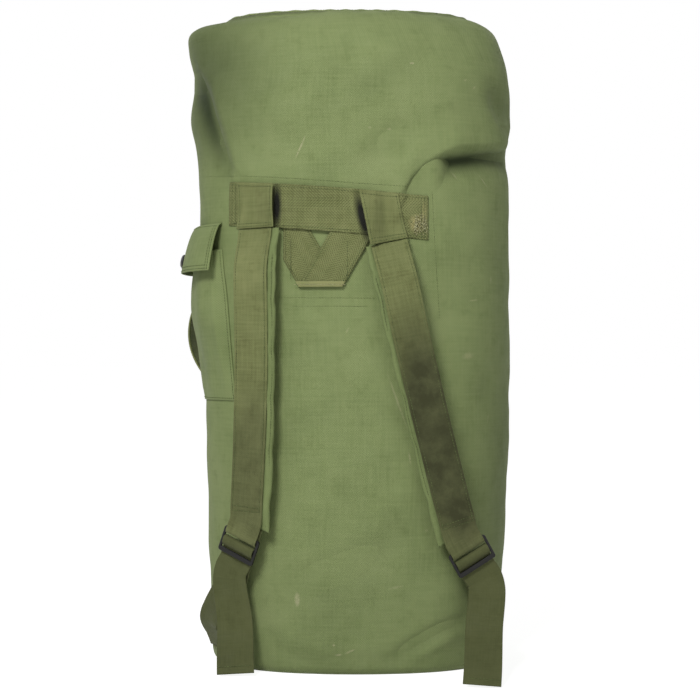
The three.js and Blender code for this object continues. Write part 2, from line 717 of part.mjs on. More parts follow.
function addStrap(name, strap, rows) {
  const frames = [];
  for (let j = 0; j <= rows; j += 1) frames.push(strapFrame(strap, j / rows));

  const pad = frames.map(({ place, across, out }, j) => {
    const v = j / rows;
    const head = PAD_END_SHARE + (1 - PAD_END_SHARE) * smooth(clamp(v / PAD_TAPER_SHARE));
    return { place: place.clone().addScaledVector(across, PAD_OFFSET), across, out, head };
  });
  const padRings = pad.map(({ place, across, out, head }) => padSectionShares.map(([s, t]) => place.clone()
    .addScaledVector(across, (s * PAD_WIDTH) / 2)
    .addScaledVector(out, (t * head * PAD_THICKNESS) / 2)));
  add(`${name}_strap_pad`, loft(padRings), nylon);

  const slide = slideFrame(strap);
  const web = frames.map(({ place, across, out }, j) => ({
    place: place.clone().addScaledVector(out, webOverPad(pad[j].head)),
    across,
  }));
  const loop = [
    [slideTop, webLayer],
    [loopFoot + 2 * turnReach, webLayer],
    [loopFoot + turnReach / 2, webLayer - turnReach / 2],
    [loopFoot, turnReach / 2],
    [loopFoot, -turnReach / 2],
    [loopFoot + turnReach / 2, turnReach / 2 - webLayer],
    [loopFoot + 2 * turnReach, -webLayer],
    [slideTop + CHAPE_LENGTH - CHAPE_RETURN_GAP, -webLayer],
  ].map(([up, outward]) => ({ place: slide.at(up, outward), across: slide.across }));
  add(`${name}_strap_web`, ribbon(framesAlong([...web, ...loop]), STRAP_WEB_WIDTH, WEB_THICKNESS), webbing);

  const headTop = strap.headHeight + STRAP_GAP;
  const slope = (strapFoot(strap, PAD_TAPER_SHARE).x - strap.headX)
    / (strapFoot(strap, PAD_TAPER_SHARE).height - strap.headHeight);
  const head = (u, v) => {
    const across = (u - 0.5) * STRAP_WEB_WIDTH;
    const top = bandHeight(strap.headX + across) + BAND_WIDTH / 2;
    const foot = headTop - slope * across;
    const height = foot + v * (top - foot);
    return [strap.headX + across + slope * (height - strap.headHeight), height];
  };
  const overBand = (x) => bandLift(x) + yokeLayer + CLEARANCE;
  add(`${name}_strap_head`, sewnOn(head, overBand, WEB_THICKNESS, 8, 6), webbing);

  const frameMesh = add(`${name}_slide`, slideGeometry(), blackPlastic);
  const up = slide.down.clone().negate();
  const turn = new THREE.Matrix4().makeBasis(slide.across, up, slide.out);
  frameMesh.applyMatrix4(turn.setPosition(slide.middle));

  addTail(name, strap, slide);
  addLoadWeb(name, strap, slide);
}

// The web's turn round the middle bar, then the tail that hangs in front of the load web
function addTail(name, strap, slide) {
  const turn = [
    [-slideTop - TAIL_START, -loadLayer],
    [middleBarFoot, -loadLayer],
    [middleBarHead - turnReach, -loadLayer],
    [middleBarHead + turnReach / 2, -loadLayer + turnReach],
    [middleBarHead + turnReach, -turnReach],
    [middleBarHead + turnReach, turnReach / 2],
    [middleBarHead + turnReach / 4, webLayer - turnReach / 8],
    [middleBarHead - turnReach, webLayer],
    [middleBarFoot, webLayer],
    ...TAIL_DIP_SHARES.map(([down, outward]) => [middleBarFoot - turnReach * down, turnReach * outward]),
    [bottomBarHead + turnReach / 2, -webLayer],
    [-slideTop - TAIL_START, -webLayer],
  ].map(([up, outward]) => ({ place: slide.at(up, outward), across: slide.across }));
  const start = slide.at(-slideTop - TAIL_START, -webLayer);
  const foot = new THREE.Vector3(
    slide.middle.x + strap.tailShift, slide.middle.y - strap.tailForward, TAIL_FLOOR_GAP,
  );
  const lead = start.clone()
    .addScaledVector(slide.down, LOAD_WEB_DROP)
    .addScaledVector(slide.out, TAIL_LEAD);
  const level = slide.across.clone().setZ(0).normalize();
  const knee = new THREE.Vector3(
    (lead.x + foot.x) / 2, lead.y - strap.tailForward * TAIL_KNEE_SHARE, (lead.z + foot.z) / 2,
  );
  const path = new THREE.CatmullRomCurve3([start, lead, knee, foot]);
  const hanging = [];
  for (let j = 1; j <= TAIL_ROWS; j += 1) {
    const share = j / TAIL_ROWS;
    hanging.push({
      place: path.getPoint(share),
      across: slide.across.clone().lerp(level, smooth(share)).normalize(),
    });
  }
  const frames = framesAlong([...turn, ...hanging]);
  add(`${name}_tail_web`, ribbon(frames, STRAP_WEB_WIDTH, WEB_THICKNESS), darkWebbing);
}

function addLoadWeb(name, strap, slide) {
  const reach = strap.side * ANCHOR_REACH;
  const overTab = LOAD_WEB_LAYERS * WEB_THICKNESS + 3 * CLEARANCE;
  const start = slide.at(-slideTop - TAIL_START - LOAD_WEB_GAP, -loadLayer);
  const places = [
    start.clone().addScaledVector(slide.down, LOAD_WEB_LEAD),
    start.clone().addScaledVector(slide.down, LOAD_WEB_DROP).addScaledVector(slide.out, -LOAD_WEB_SET_BACK),
    wrapped(FRONT, reach, LOAD_WEB_BULGE_HEIGHT, LOAD_WEB_BULGE),
    wrapped(FRONT, reach, ANCHOR_HEIGHT + ANCHOR_TALL / 2, overTab * 2),
    wrapped(FRONT, reach, ANCHOR_HEIGHT + ANCHOR_TALL / 4, overTab),
    wrapped(FRONT, reach, ANCHOR_HEIGHT - ANCHOR_TALL / 3, overTab),
  ];
  const path = new THREE.CatmullRomCurve3(places, false, 'centripetal');
  const along = wrapped(FRONT, reach + STRAP_GAP, ANCHOR_HEIGHT, overTab)
    .sub(wrapped(FRONT, reach, ANCHOR_HEIGHT, overTab)).normalize();
  const stops = [{ place: start, across: slide.across }];
  for (let j = 0; j <= LOAD_WEB_ROWS; j += 1) {
    const share = j / LOAD_WEB_ROWS;
    stops.push({
      place: path.getPoint(share),
      across: slide.across.clone().lerp(along, smooth(clamp(share / LOAD_WEB_TURN_SHARE))).normalize(),
    });
  }
  add(`${name}_load_web`, ribbon(framesAlong(stops), STRAP_WEB_WIDTH, WEB_THICKNESS), darkWebbing);

  const tab = (extra) => (u, v) => wrapped(
    FRONT, reach + (u - 0.5) * BAND_WIDTH, ANCHOR_HEIGHT + (v - 0.5) * ANCHOR_TALL, CLEARANCE + extra,
  );
  add(`${name}_lower_anchor`, slab(tab(WEB_THICKNESS), tab(0), 8, 3), webbing);
}

// Side pocket: a full patch with a gusset, open at the top, under a flap that stands a little open
const pocketWidth = POCKET_FRONT_EDGE - POCKET_BACK_EDGE;
const pocketTall = POCKET_TOP - POCKET_BOTTOM;

function pocketLift(distance, height) {
  const fromSide = Math.min(POCKET_FRONT_EDGE - distance, distance - POCKET_BACK_EDGE);
  const fromFoot = height - POCKET_BOTTOM;
  const filled = smooth(clamp(fromSide / POCKET_GUSSET)) * smooth(clamp(fromFoot / POCKET_GUSSET));
  const slack = smooth(clamp((fromFoot / pocketTall - POCKET_SLACKEN_SHARE) / (1 - POCKET_SLACKEN_SHARE)));
  return CLEARANCE + filled * (POCKET_FULLNESS + slack * (POCKET_MOUTH_LIFT - POCKET_FULLNESS));
}

function flapLift(below) {
  return CLEARANCE + FLAP_LIFT * clamp(below / FLAP_LENGTH) ** FLAP_CURVE;
}

// Sets a round piece on a surface at (u, v), turned to face out of the bag's left side, with a lift.
function seat(mesh, surface, [u, v], lift) {
  const step = SURFACE_STEP;
  const sideways = surface(u + step, v).sub(surface(u - step, v));
  const upward = surface(u, v + step).sub(surface(u, v - step));
  const outward = sideways.cross(upward).normalize();
  if (outward.x > 0) outward.negate();
  mesh.quaternion.setFromUnitVectors(new THREE.Vector3(0, 0, 1), outward);
  mesh.position.copy(surface(u, v)).addScaledVector(outward, lift);
}

function addPocket() {
  const panel = (extra) => (u, v) => {
    const distance = POCKET_BACK_EDGE + u * pocketWidth;
    const height = POCKET_BOTTOM + v * pocketTall;
    return wrapped(LEFT, distance, height, pocketLift(distance, height) + extra);
  };
  add('pocket_panel', slab(panel(CLOTH_THICKNESS), panel(0), POCKET_COLUMNS, POCKET_ROWS), nylon);

  const hemMargin = pocketWidth / POCKET_COLUMNS;
  const hemTall = pocketTall / POCKET_ROWS;
  const hem = (extra) => (u, v) => {
    const distance = POCKET_BACK_EDGE + hemMargin + u * (pocketWidth - 2 * hemMargin);
    const height = POCKET_TOP - (1 - v) * hemTall;
    const lift = pocketLift(distance, height) + CLOTH_THICKNESS + HEM_EASE;
    return wrapped(LEFT, distance, height, lift + extra);
  };
  add('pocket_hem', slab(hem(CLOTH_THICKNESS), hem(0), POCKET_COLUMNS - 2, 1), nylon);

  const flap = (extra) => (u, v) => {
    const below = v * FLAP_LENGTH;
    return wrapped(LEFT, POCKET_BACK_EDGE + u * pocketWidth, FLAP_TOP - below, flapLift(below) + extra);
  };
  add('pocket_flap', slab(flap(FLAP_THICKNESS), flap(0), 16, 6), nylon);

  const snapPlace = (SNAP_PLACE - POCKET_BACK_EDGE) / pocketWidth;
  const onFlap = [snapPlace, SNAP_BELOW_FLAP_TOP / FLAP_LENGTH];
  const onHem = [
    (SNAP_PLACE - POCKET_BACK_EDGE - hemMargin) / (pocketWidth - 2 * hemMargin),
    (FLAP_TOP - SNAP_BELOW_FLAP_TOP - POCKET_TOP) / hemTall + 1,
  ];
  const cap = turned([
    [0, 0], [SNAP_CAP_RADIUS, 0],
    ...CAP_CROWN_SHARES.map(([radius, height]) => [SNAP_CAP_RADIUS * radius, SNAP_CAP_HEIGHT * height]),
    [0, SNAP_CAP_HEIGHT],
  ]);
  seat(add('flap_snap_cap', cap, blackMetal), flap(FLAP_THICKNESS), onFlap, SNAP_SEAT);
  const socket = turned([
    [SNAP_SOCKET_BORE, 0], [SNAP_SOCKET_RADIUS, 0], [SNAP_SOCKET_RADIUS, SNAP_SOCKET_HEIGHT],
    [SNAP_SOCKET_BORE, SNAP_SOCKET_HEIGHT], [SNAP_SOCKET_BORE, 0],
  ]);
  seat(add('flap_snap_socket', socket, darkBrass), flap(0), onFlap, -SNAP_SOCKET_HEIGHT - SNAP_SEAT);
  const stud = turned([
    [0, 0], [SNAP_STUD_FLANGE, 0], [SNAP_STUD_FLANGE, SNAP_STUD_FLANGE_HEIGHT],
    [SNAP_STUD_RADIUS * STUD_NECK_SHARE, SNAP_STUD_FLANGE_HEIGHT],
    ...STUD_CROWN_SHARES.map(([radius, height]) => [SNAP_STUD_RADIUS * radius, SNAP_STUD_HEIGHT * height]),
    [0, SNAP_STUD_HEIGHT],
  ]);
  seat(add('pocket_snap_stud', stud, darkBrass), hem(CLOTH_THICKNESS), onHem, SNAP_SEAT);
}

// Side handle: a web loop that stands away from the bag and leans forward, sewn down under two patches
function addHandle() {
  const half = HANDLE_SPAN / 2;
  const root = wrapped(LEFT, HANDLE_PLACE, HANDLE_MIDDLE, 0);
  const outward = wrapped(LEFT, HANDLE_PLACE, HANDLE_MIDDLE, 1).sub(root).setZ(0).normalize();
  const reach = outward.clone().applyAxisAngle(UP, HANDLE_LEAN);
  const along = new THREE.Vector3().crossVectors(UP, outward).normalize();
  const shares = [0, 1];
  for (let j = 0; j <= HANDLE_ROWS; j += 1) {
    shares.push(HANDLE_SEWN_SHARE + (j / HANDLE_ROWS) * (1 - 2 * HANDLE_SEWN_SHARE));
  }
  const stops = shares.sort((a, b) => a - b).map((share) => {
    const free = clamp((share - HANDLE_SEWN_SHARE) / (1 - 2 * HANDLE_SEWN_SHARE));
    const arch = Math.sin(Math.PI * free) ** HANDLE_ARCH_SHARPNESS;
    const height = HANDLE_MIDDLE + half - share * HANDLE_SPAN;
    const base = wrapped(LEFT, HANDLE_PLACE, height, HANDLE_END_LIFT);
    return {
      place: base.addScaledVector(reach, HANDLE_ARCH * arch),
      across: along.clone().applyAxisAngle(UP, HANDLE_LEAN * arch),
      spread: smooth(clamp(arch / HANDLE_SPREAD_SHARE)),
    };
  });
  const rings = framesAlong(stops).map(({ place, across, out }, j) => {
    const width = HANDLE_END_WIDTH + (STRAP_WEB_WIDTH - HANDLE_END_WIDTH) * stops[j].spread;
    return [[-1, -1], [1, -1], [1, 1], [-1, 1]].map(([side, face]) => place.clone()
      .addScaledVector(across, (side * width) / 2)
      .addScaledVector(out, (face * HANDLE_THICKNESS) / 2));
  });
  add('side_handle', loft(rings), webbing);

  for (const [name, side] of [['upper', 1], ['lower', -1]]) {
    const foot = HANDLE_MIDDLE + side * (half + STRAP_GAP);
    const patch = (extra) => (u, v) => wrapped(
      LEFT, HANDLE_PLACE + (u - 0.5) * BAND_WIDTH, foot + side * v * HANDLE_PATCH_TALL, CLEARANCE + extra,
    );
    add(`handle_patch_${name}`, slab(patch(HANDLE_PATCH_THICKNESS), patch(0), 8, 2), webbing);
  }
}

// Mouth: a hem round the opening and four parts of the bag's end folded in over it
const rim = stationAt(1);
const hemTop = rim.height + HEM_THICKNESS - HEM_DROP;

// The folded-in cloth lies flat on the hem, slopes down toward the middle and is flat again
// under the staple.
const mouthFloor = (reach) => hemTop + CLEARANCE
  - MOUTH_SINK * clamp((MOUTH_FLAT_SHARE - reach) / (MOUTH_FLAT_SHARE - MOUTH_FLOOR_SHARE));

// A point over the mouth: the direction from its middle, the share of the way to the rim, and the lift.
function mouthPoint(angle, reach, lift) {
  const radius = sectionRadius(angle, rim.halfWidth - WALL, rim.halfDepth - WALL) * reach;
  return new THREE.Vector3(
    rim.lean + radius * Math.cos(angle), radius * Math.sin(angle), mouthFloor(reach) + lift,
  );
}

// The same surface by its plan position
function mouthHeight(x, y) {
  const radius = sectionRadius(Math.atan2(y, x - rim.lean), rim.halfWidth - WALL, rim.halfDepth - WALL);
  return mouthFloor(Math.hypot(x - rim.lean, y) / radius);
}

const grommetThickness = 2 * (GROMMET_FLANGE + CLEARANCE) + TONGUE_THICKNESS;
const plateFoot = MOUTH_PART_THICKNESS + CLEARANCE + TONGUE_THICKNESS + CLEARANCE;
const grommetFoot = (level) => (
  plateFoot + STAPLE_PLATE_THICKNESS + CLEARANCE + level * (grommetThickness + STACK_GAP)
);

function addMouth() {
  const hem = (margin, height) => (angle) => {
    const radius = sectionRadius(angle, rim.halfWidth, rim.halfDepth) - margin;
    return new THREE.Vector3(rim.lean + radius * Math.cos(angle), radius * Math.sin(angle), height);
  };
  const hemRings = [];
  for (let i = 0; i < BODY_SEGMENTS; i += 1) {
    const angle = (2 * Math.PI * i) / BODY_SEGMENTS;
    hemRings.push([
      hem(HEM_INSET, hemTop - HEM_THICKNESS)(angle), hem(HEM_INSET, hemTop)(angle),
      hem(HEM_INSET + HEM_WIDTH, hemTop)(angle), hem(HEM_INSET + HEM_WIDTH, hemTop - HEM_THICKNESS)(angle),
    ]);
  }
  add('mouth_hem', loft(hemRings, false), nylon);

  const parts = [
    { name: 'back', middle: BACK, half: Math.PI / 2 - MOUTH_CORNER_ANGLE, tip: BACK_PART_TIP_SHARE },
    { name: 'front', middle: FRONT, half: Math.PI / 2 - MOUTH_CORNER_ANGLE, tip: FRONT_PART_TIP_SHARE },
    { name: 'left', middle: LEFT, half: MOUTH_CORNER_ANGLE, tip: SIDE_PART_TIP_SHARE },
    { name: 'right', middle: RIGHT, half: MOUTH_CORNER_ANGLE, tip: SIDE_PART_TIP_SHARE },
  ];
  parts.forEach(({ name, middle, half, tip }, order) => {
    const reaches = [1, MOUTH_FLAT_SHARE, MOUTH_FLOOR_SHARE, tip];
    const rows = reaches.length - 1;
    const part = (lift) => (u, v) => {
      const reach = reaches[Math.round(v * rows)];
      const edge = mouthPoint(middle + half, reach, 0);
      const trim = MOUTH_GAP / 2 / Math.hypot(edge.x - rim.lean, edge.y);
      return mouthPoint(middle + (2 * u - 1) * (half - trim), reach, lift);
    };
    add(`mouth_part_${name}`, slab(part(MOUTH_PART_THICKNESS), part(0), 12, rows), nylon);
    addTongue(name, middle, order);
  });
  addStaple();
}

// A webbing tongue sewn on a folded-in part. It steps up over the tongues below it near the staple.
function addTongue(name, middle, order) {
  const outward = new THREE.Vector3(Math.cos(middle), Math.sin(middle), 0);
  const sideways = new THREE.Vector3(-Math.sin(middle), Math.cos(middle), 0);
  const rootReach = sectionRadius(middle, rim.halfWidth, rim.halfDepth) * TONGUE_ROOT_SHARE;
  const rest = MOUTH_PART_THICKNESS + CLEARANCE;
  const step = order === 0 ? rest : grommetFoot(order - 1) + GROMMET_FLANGE + CLEARANCE;
  const surface = (extra) => (u, v) => {
    const reach = rootReach - v * (rootReach + TONGUE_TIP);
    const place = outward.clone().multiplyScalar(reach).addScaledVector(sideways, (u - 0.5) * TONGUE_WIDTH);
    const rise = smooth(clamp((TONGUE_STEP_REACH + TONGUE_STEP_RUN - reach) / TONGUE_STEP_RUN));
    const base = mouthHeight(rim.lean + place.x, place.y);
    return new THREE.Vector3(rim.lean + place.x, place.y, base + rest + (step - rest) * rise + extra);
  };
  const tongue = slab(surface(TONGUE_THICKNESS), surface(0), 2, 12);
  if (order === 0) {
    add(`tongue_${name}`, tongue, webbing);
    return;
  }
  const hole = new THREE.CylinderGeometry(
    GROMMET_BARREL + CLEARANCE, GROMMET_BARREL + CLEARANCE, TONGUE_HOLE_TALL, ROUND_SEGMENTS,
  );
  hole.rotateX(Math.PI / 2);
  hole.translate(rim.lean, 0, mouthFloor(0) + step);
  add(`tongue_${name}`, cut(tongue, hole), webbing);

  const head = grommetThickness;
  const grommet = turned([
    [GROMMET_BORE, 0], [GROMMET_RADIUS, 0], [GROMMET_RADIUS, GROMMET_FLANGE],
    [GROMMET_BARREL, GROMMET_FLANGE], [GROMMET_BARREL, head - GROMMET_FLANGE],
    [GROMMET_RADIUS, head - GROMMET_FLANGE], [GROMMET_RADIUS, head],
    [GROMMET_BORE, head], [GROMMET_BORE, 0],
  ]);
  const mesh = add(`grommet_${name}`, grommet, darkBrass);
  mesh.position.set(rim.lean, 0, mouthFloor(0) + grommetFoot(order - 1));
}

function addStaple() {
  const flat = mouthFloor(0);
  const plate = new THREE.BoxGeometry(STAPLE_PLATE_LENGTH, STAPLE_PLATE_WIDTH, STAPLE_PLATE_THICKNESS);
  const plateMesh = add('staple_plate', plate, darkBrass);
  plateMesh.position.set(rim.lean, 0, flat + plateFoot + STAPLE_PLATE_THICKNESS / 2);

  const foot = flat + plateFoot + STAPLE_PLATE_THICKNESS + CLEARANCE;
  const head = flat + grommetFoot(3) + STAPLE_HOOK_ROOM + STAPLE_WIRE;
  const half = STAPLE_WIDTH / 2 - STAPLE_WIRE;
  const bend = half * (1 - STAPLE_CROWN_SHARE);
  const shoulder = head - half * STAPLE_CROWN_SHARE;
  const places = [
    [-half, foot], [-half, (foot + head) / 2], [-half, head - half], [-bend, shoulder], [0, head],
    [bend, shoulder], [half, head - half], [half, (foot + head) / 2], [half, foot],
  ].map(([x, height]) => new THREE.Vector3(rim.lean + x, 0, height));
  add('staple', wire(places, STAPLE_WIRE, 20), darkBrass);
}

// Snap hook on its web tab, hanging on the back below the mouth
function addHook() {
  const patch = (extra) => (u, v) => wrapped(
    BACK, (u - 0.5) * HOOK_TAB_WIDTH, HOOK_PATCH_HEIGHT + (v - 0.5) * HOOK_PATCH_TALL, CLEARANCE + extra,
  );
  add('hook_tab_patch', slab(patch(WEB_THICKNESS), patch(0), 4, 6), webbing);

  const patchFoot = HOOK_PATCH_HEIGHT - HOOK_PATCH_TALL / 2;
  const top = wrapped(BACK, 0, patchFoot - STRAP_GAP, CLEARANCE + WEB_THICKNESS / 2);
  const barY = top.y + HOOK_TAB_LIFT;
  const barZ = top.z - HOOK_TAB_DROP;
  const ring = HOOK_WIRE + WEB_CLEARANCE + WEB_THICKNESS / 2;
  const across = new THREE.Vector3(-1, 0, 0);
  const [sewnFront, sewnBack] = HOOK_TAB_SEWN_SHARES;
  const diagonal = ring * Math.SQRT1_2;
  const stops = [
    ...HOOK_TAB_SHARES.map(([out, down]) => [top.y + HOOK_TAB_LIFT * out, top.z - HOOK_TAB_DROP * down]),
    [barY + ring, barZ + HOOK_TAB_DROP * sewnFront],
    [barY + ring, barZ],
    [barY + diagonal, barZ - diagonal],
    [barY, barZ - ring],
    [barY - diagonal, barZ - diagonal],
    [barY - ring, barZ],
    [barY - ring, barZ + HOOK_TAB_DROP * sewnBack],
  ].map(([y, z]) => ({ place: new THREE.Vector3(top.x, y, z), across }));
  add('hook_tab', ribbon(framesAlong(stops), HOOK_TAB_WIDTH, WEB_THICKNESS), webbing);

  const halfEye = HOOK_EYE_WIDTH / 2;
  const footZ = barZ - HOOK_EYE_HEIGHT;
  const corner = HOOK_WIRE;
  const eyePlaces = [
    [-halfEye + corner, barZ], [0, barZ], [halfEye - corner, barZ], [halfEye, barZ - corner],
    [halfEye, footZ + corner], [halfEye - corner, footZ], [0, footZ], [-halfEye + corner, footZ],
    [-halfEye, footZ + corner], [-halfEye, barZ - corner],
  ].map(([x, z]) => new THREE.Vector3(top.x + x, barY, z));
  const upright = (radius, length) => (
    new THREE.CylinderGeometry(radius, radius, length, ROUND_SEGMENTS).rotateX(Math.PI / 2)
      .translate(top.x, barY, footZ)
  );
  const boss = upright(HOOK_BOSS_RADIUS, HOOK_BOSS_HEIGHT);
  const bore = upright(HOOK_PIN_RADIUS + HOOK_PIN_GAP, HOOK_BOSS_HEIGHT + TOOL_OVERRUN);
  add('hook_eye', cut(join(wire(eyePlaces, HOOK_WIRE, 36, true), boss), bore), blackMetal);

  const headFoot = footZ + HOOK_BOSS_HEIGHT / 2 + CLEARANCE;
  const collarHead = footZ - HOOK_BOSS_HEIGHT / 2 - CLEARANCE;
  const pinFoot = collarHead - HOOK_COLLAR_HEIGHT / 2;
  const pin = turned([
    [0, pinFoot], [HOOK_PIN_RADIUS, pinFoot], [HOOK_PIN_RADIUS, headFoot],
    [HOOK_PIN_HEAD, headFoot], [HOOK_PIN_HEAD, headFoot + HOOK_PIN_HEAD_HEIGHT],
    [0, headFoot + HOOK_PIN_HEAD_HEIGHT],
  ]);
  pin.translate(top.x, barY, 0);

  const collarFoot = collarHead - HOOK_COLLAR_HEIGHT;
  const collar = turned([
    [0, collarFoot], [HOOK_COLLAR_RADIUS, collarFoot], [HOOK_COLLAR_RADIUS, collarHead], [0, collarHead],
  ]);
  collar.translate(top.x, barY, 0);
  const bendZ = collarFoot - HOOK_SHANK;
  const reach = HOOK_BEND_RADIUS;
  const hookPlaces = [
    [0, collarFoot + HOOK_COLLAR_HEIGHT / 2],
    [0, collarFoot - HOOK_WIRE],
    [-reach, collarFoot - reach],
  ];
  for (let i = 0; i <= HOOK_BEND_STEPS; i += 1) {
    const angle = Math.PI + (Math.PI * i) / HOOK_BEND_STEPS;
    hookPlaces.push([reach * Math.cos(angle), bendZ + reach * Math.sin(angle)]);
  }
  hookPlaces.push([reach, bendZ + HOOK_TIP_RISE]);
  const hook = wire(hookPlaces.map(([x, z]) => new THREE.Vector3(top.x + x, barY, z)), HOOK_WIRE, 32);

  // The gate turns on a pin between two lugs of the collar.
  const pivotX = top.x + GATE_PIVOT_REACH;
  const pivotZ = collarFoot - GATE_PIVOT_DROP;
  const crosswise = (radius, length) => new THREE.CylinderGeometry(radius, radius, length, ROUND_SEGMENTS);
  const atPivot = (geometry) => geometry.translate(pivotX, barY, pivotZ);
  const lugMiddle = GATE_BARREL_LENGTH / 2 + CLEARANCE + GATE_LUG_THICKNESS / 2;
  const lugs = [-1, 1].map((side) => {
    const lug = new THREE.BoxGeometry(GATE_LUG_LENGTH, GATE_LUG_THICKNESS, GATE_LUG_TALL);
    const lugX = pivotX + GATE_BARREL_RADIUS - GATE_LUG_LENGTH / 2;
    return lug.translate(lugX, barY + side * lugMiddle, pivotZ + GATE_PIVOT_DROP / 2);
  });
  const pinLength = GATE_BARREL_LENGTH + 2 * (CLEARANCE + GATE_LUG_THICKNESS);
  const pinHole = atPivot(crosswise(GATE_PIN_RADIUS + GATE_PIN_GAP, pinLength + TOOL_OVERRUN));
  add('snap_hook', cut(join(hook, collar, pin, ...lugs), pinHole), blackMetal);
  add('gate_pin', fromManifold(toManifold(atPivot(crosswise(GATE_PIN_RADIUS, pinLength)))), darkBrass);

  const gateFoot = bendZ + HOOK_TIP_RISE + GATE_TIP_GAP;
  const arm = wire([
    new THREE.Vector3(pivotX, barY, pivotZ),
    new THREE.Vector3(top.x + reach + GATE_WIRE, barY, (pivotZ + gateFoot) / 2),
    new THREE.Vector3(top.x + reach, barY, gateFoot),
  ], GATE_WIRE, 8);
  const barrel = atPivot(crosswise(GATE_BARREL_RADIUS, GATE_BARREL_LENGTH));
  add('hook_gate', cut(join(arm, barrel), pinHole), blackMetal);
}

addBody();
addYoke();
addStrap('left', straps.left, STRAP_ROWS);
addStrap('right', straps.right, STRAP_ROWS);
addPocket();
addHandle();
addMouth();
addHook();

export default bag;
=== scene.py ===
import math

import bmesh
import bpy
import numpy as np
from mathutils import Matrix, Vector, noise


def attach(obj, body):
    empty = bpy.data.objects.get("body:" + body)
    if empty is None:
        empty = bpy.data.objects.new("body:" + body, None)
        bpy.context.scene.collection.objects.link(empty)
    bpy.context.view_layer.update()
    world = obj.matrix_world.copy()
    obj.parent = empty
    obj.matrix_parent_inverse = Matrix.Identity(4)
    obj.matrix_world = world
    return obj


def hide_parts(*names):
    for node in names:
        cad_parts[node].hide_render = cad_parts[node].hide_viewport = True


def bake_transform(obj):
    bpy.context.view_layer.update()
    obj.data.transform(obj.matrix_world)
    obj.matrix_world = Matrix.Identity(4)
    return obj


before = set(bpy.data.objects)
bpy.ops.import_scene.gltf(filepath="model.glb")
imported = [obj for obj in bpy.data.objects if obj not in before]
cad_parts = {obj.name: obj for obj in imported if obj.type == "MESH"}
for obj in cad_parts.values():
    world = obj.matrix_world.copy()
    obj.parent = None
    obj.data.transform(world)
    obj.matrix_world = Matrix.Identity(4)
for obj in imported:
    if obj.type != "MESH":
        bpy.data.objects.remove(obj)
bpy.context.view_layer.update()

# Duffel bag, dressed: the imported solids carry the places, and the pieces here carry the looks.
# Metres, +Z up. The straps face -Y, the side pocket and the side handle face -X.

bl_info = {
    "name": "Duffel Bag Maker",
    "version": (1, 0, 0),
    "blender": (4, 5, 0),
    "location": "View3D > Sidebar > Duffel Bag",
    "description": "Makes a stuffed nylon duffel bag with padded shoulder straps",
    "category": "Object",
}

# Sizes of the filled body
BODY_HEIGHT = 0.787
BODY_WIDTH = 0.38
BODY_DEPTH = 0.296
SQUARENESS = 2.3
WALL = 0.002
CLEARANCE = 0.0003
BASE_PANEL_THICKNESS = 0.0024

# Rows from the base edge to the mouth: shares of the height, half width and half depth, and the lean
PROFILE_SHARES = (
    (0.0034, 0.895, 0.905, 0), (0.018, 0.937, 0.953, 0), (0.104, 0.942, 0.973, -0.005),
    (0.246, 0.974, 0.993, 0.01), (0.484, 0.997, 1, 0.005), (0.642, 1.008, 1, -0.01),
    (0.737, 1.016, 0.993, -0.016), (0.8, 1.013, 0.986, -0.03), (0.848, 1.042, 1, -0.037),
    (0.911, 1.03, 0.973, -0.03), (0.952, 1.026, 0.905, -0.063), (0.977, 1.01, 0.83, -0.088),
    (0.99, 0.96, 0.76, -0.09), (0.997, 0.88, 0.69, -0.07), (1, 0.8, 0.63, -0.05),
)

# Webbing and cloth: widths, thicknesses, how far each web waves, how far from its end a strap's web is
# sewn across, and the stitches, their height over the cloth and their distance from an edge
STRAP_WEB_WIDTH = 0.0437
BAND_WIDTH = 0.0508
WEB_THICKNESS = 0.0018
CLOTH_THICKNESS = 0.0015
FLAP_THICKNESS = 0.0022
STRAP_WAVE = 0.0007
TAIL_WAVE = 0.0011
LOAD_WAVE = 0.0008
HANDLE_WAVE = 0.0006
HOOK_TAB_WAVE = 0.0003
STRAP_SEWN_ENDS = (0.062, 0.0655)
STRAP_STITCH_MARGIN = 0.0032
STITCH_PITCH = 0.0034
STITCH_LENGTH = 0.0026
STITCH_RADIUS = 0.00042
STITCH_REST = 0.0002
STITCH_LIFT = 0.0005
STITCH_MARGIN = 0.003

# Yoke
BAND_LEFT_END = -0.15
BAND_RIGHT_END = 0.084
BAND_LEFT_HEIGHT = 0.556
BAND_RIGHT_HEIGHT = 0.537
YOKE_MIDDLE = -0.041
YOKE_NOTCH_HEIGHT = 0.5
YOKE_FOOT_HEIGHT = 0.457
YOKE_TRIM = 0.0435
YOKE_REACH = 0.06
YOKE_HEAD_HEIGHT = 0.535
YOKE_WEB_SLOPE = math.pi / 3
YOKE_RAMP = 0.016
STRAP_GAP = 0.0008
SEWN_GAP = 0.0018
HEAD_RAISE = 0.0085
HEAD_FOOT_RAISE = 0.0034
YOKE_HEM_TALL = 0.006
YOKE_HEM_DROP = 0.001
YOKE_HEM_THICKNESS = 0.0012
YOKE_HEM_STITCHES = ((-0.07, 0.4585), (-0.013, 0.4585))
YOKE_HEM_STITCH_LIFT = 0.006
YOKE_HEAD_MARGIN = 0.009
YOKE_STITCH_MARGIN = 0.0028
YOKE_UPRIGHT_STITCHES = (-0.0345, 0.031)
YOKE_UPRIGHT_FOOT = 0.466
YOKE_UPRIGHT_HEAD = 0.508
YOKE_UPRIGHT_LIFT = 0.0044
BAND_STITCH_MARGIN = 0.004
STRAND_COUNT = 44

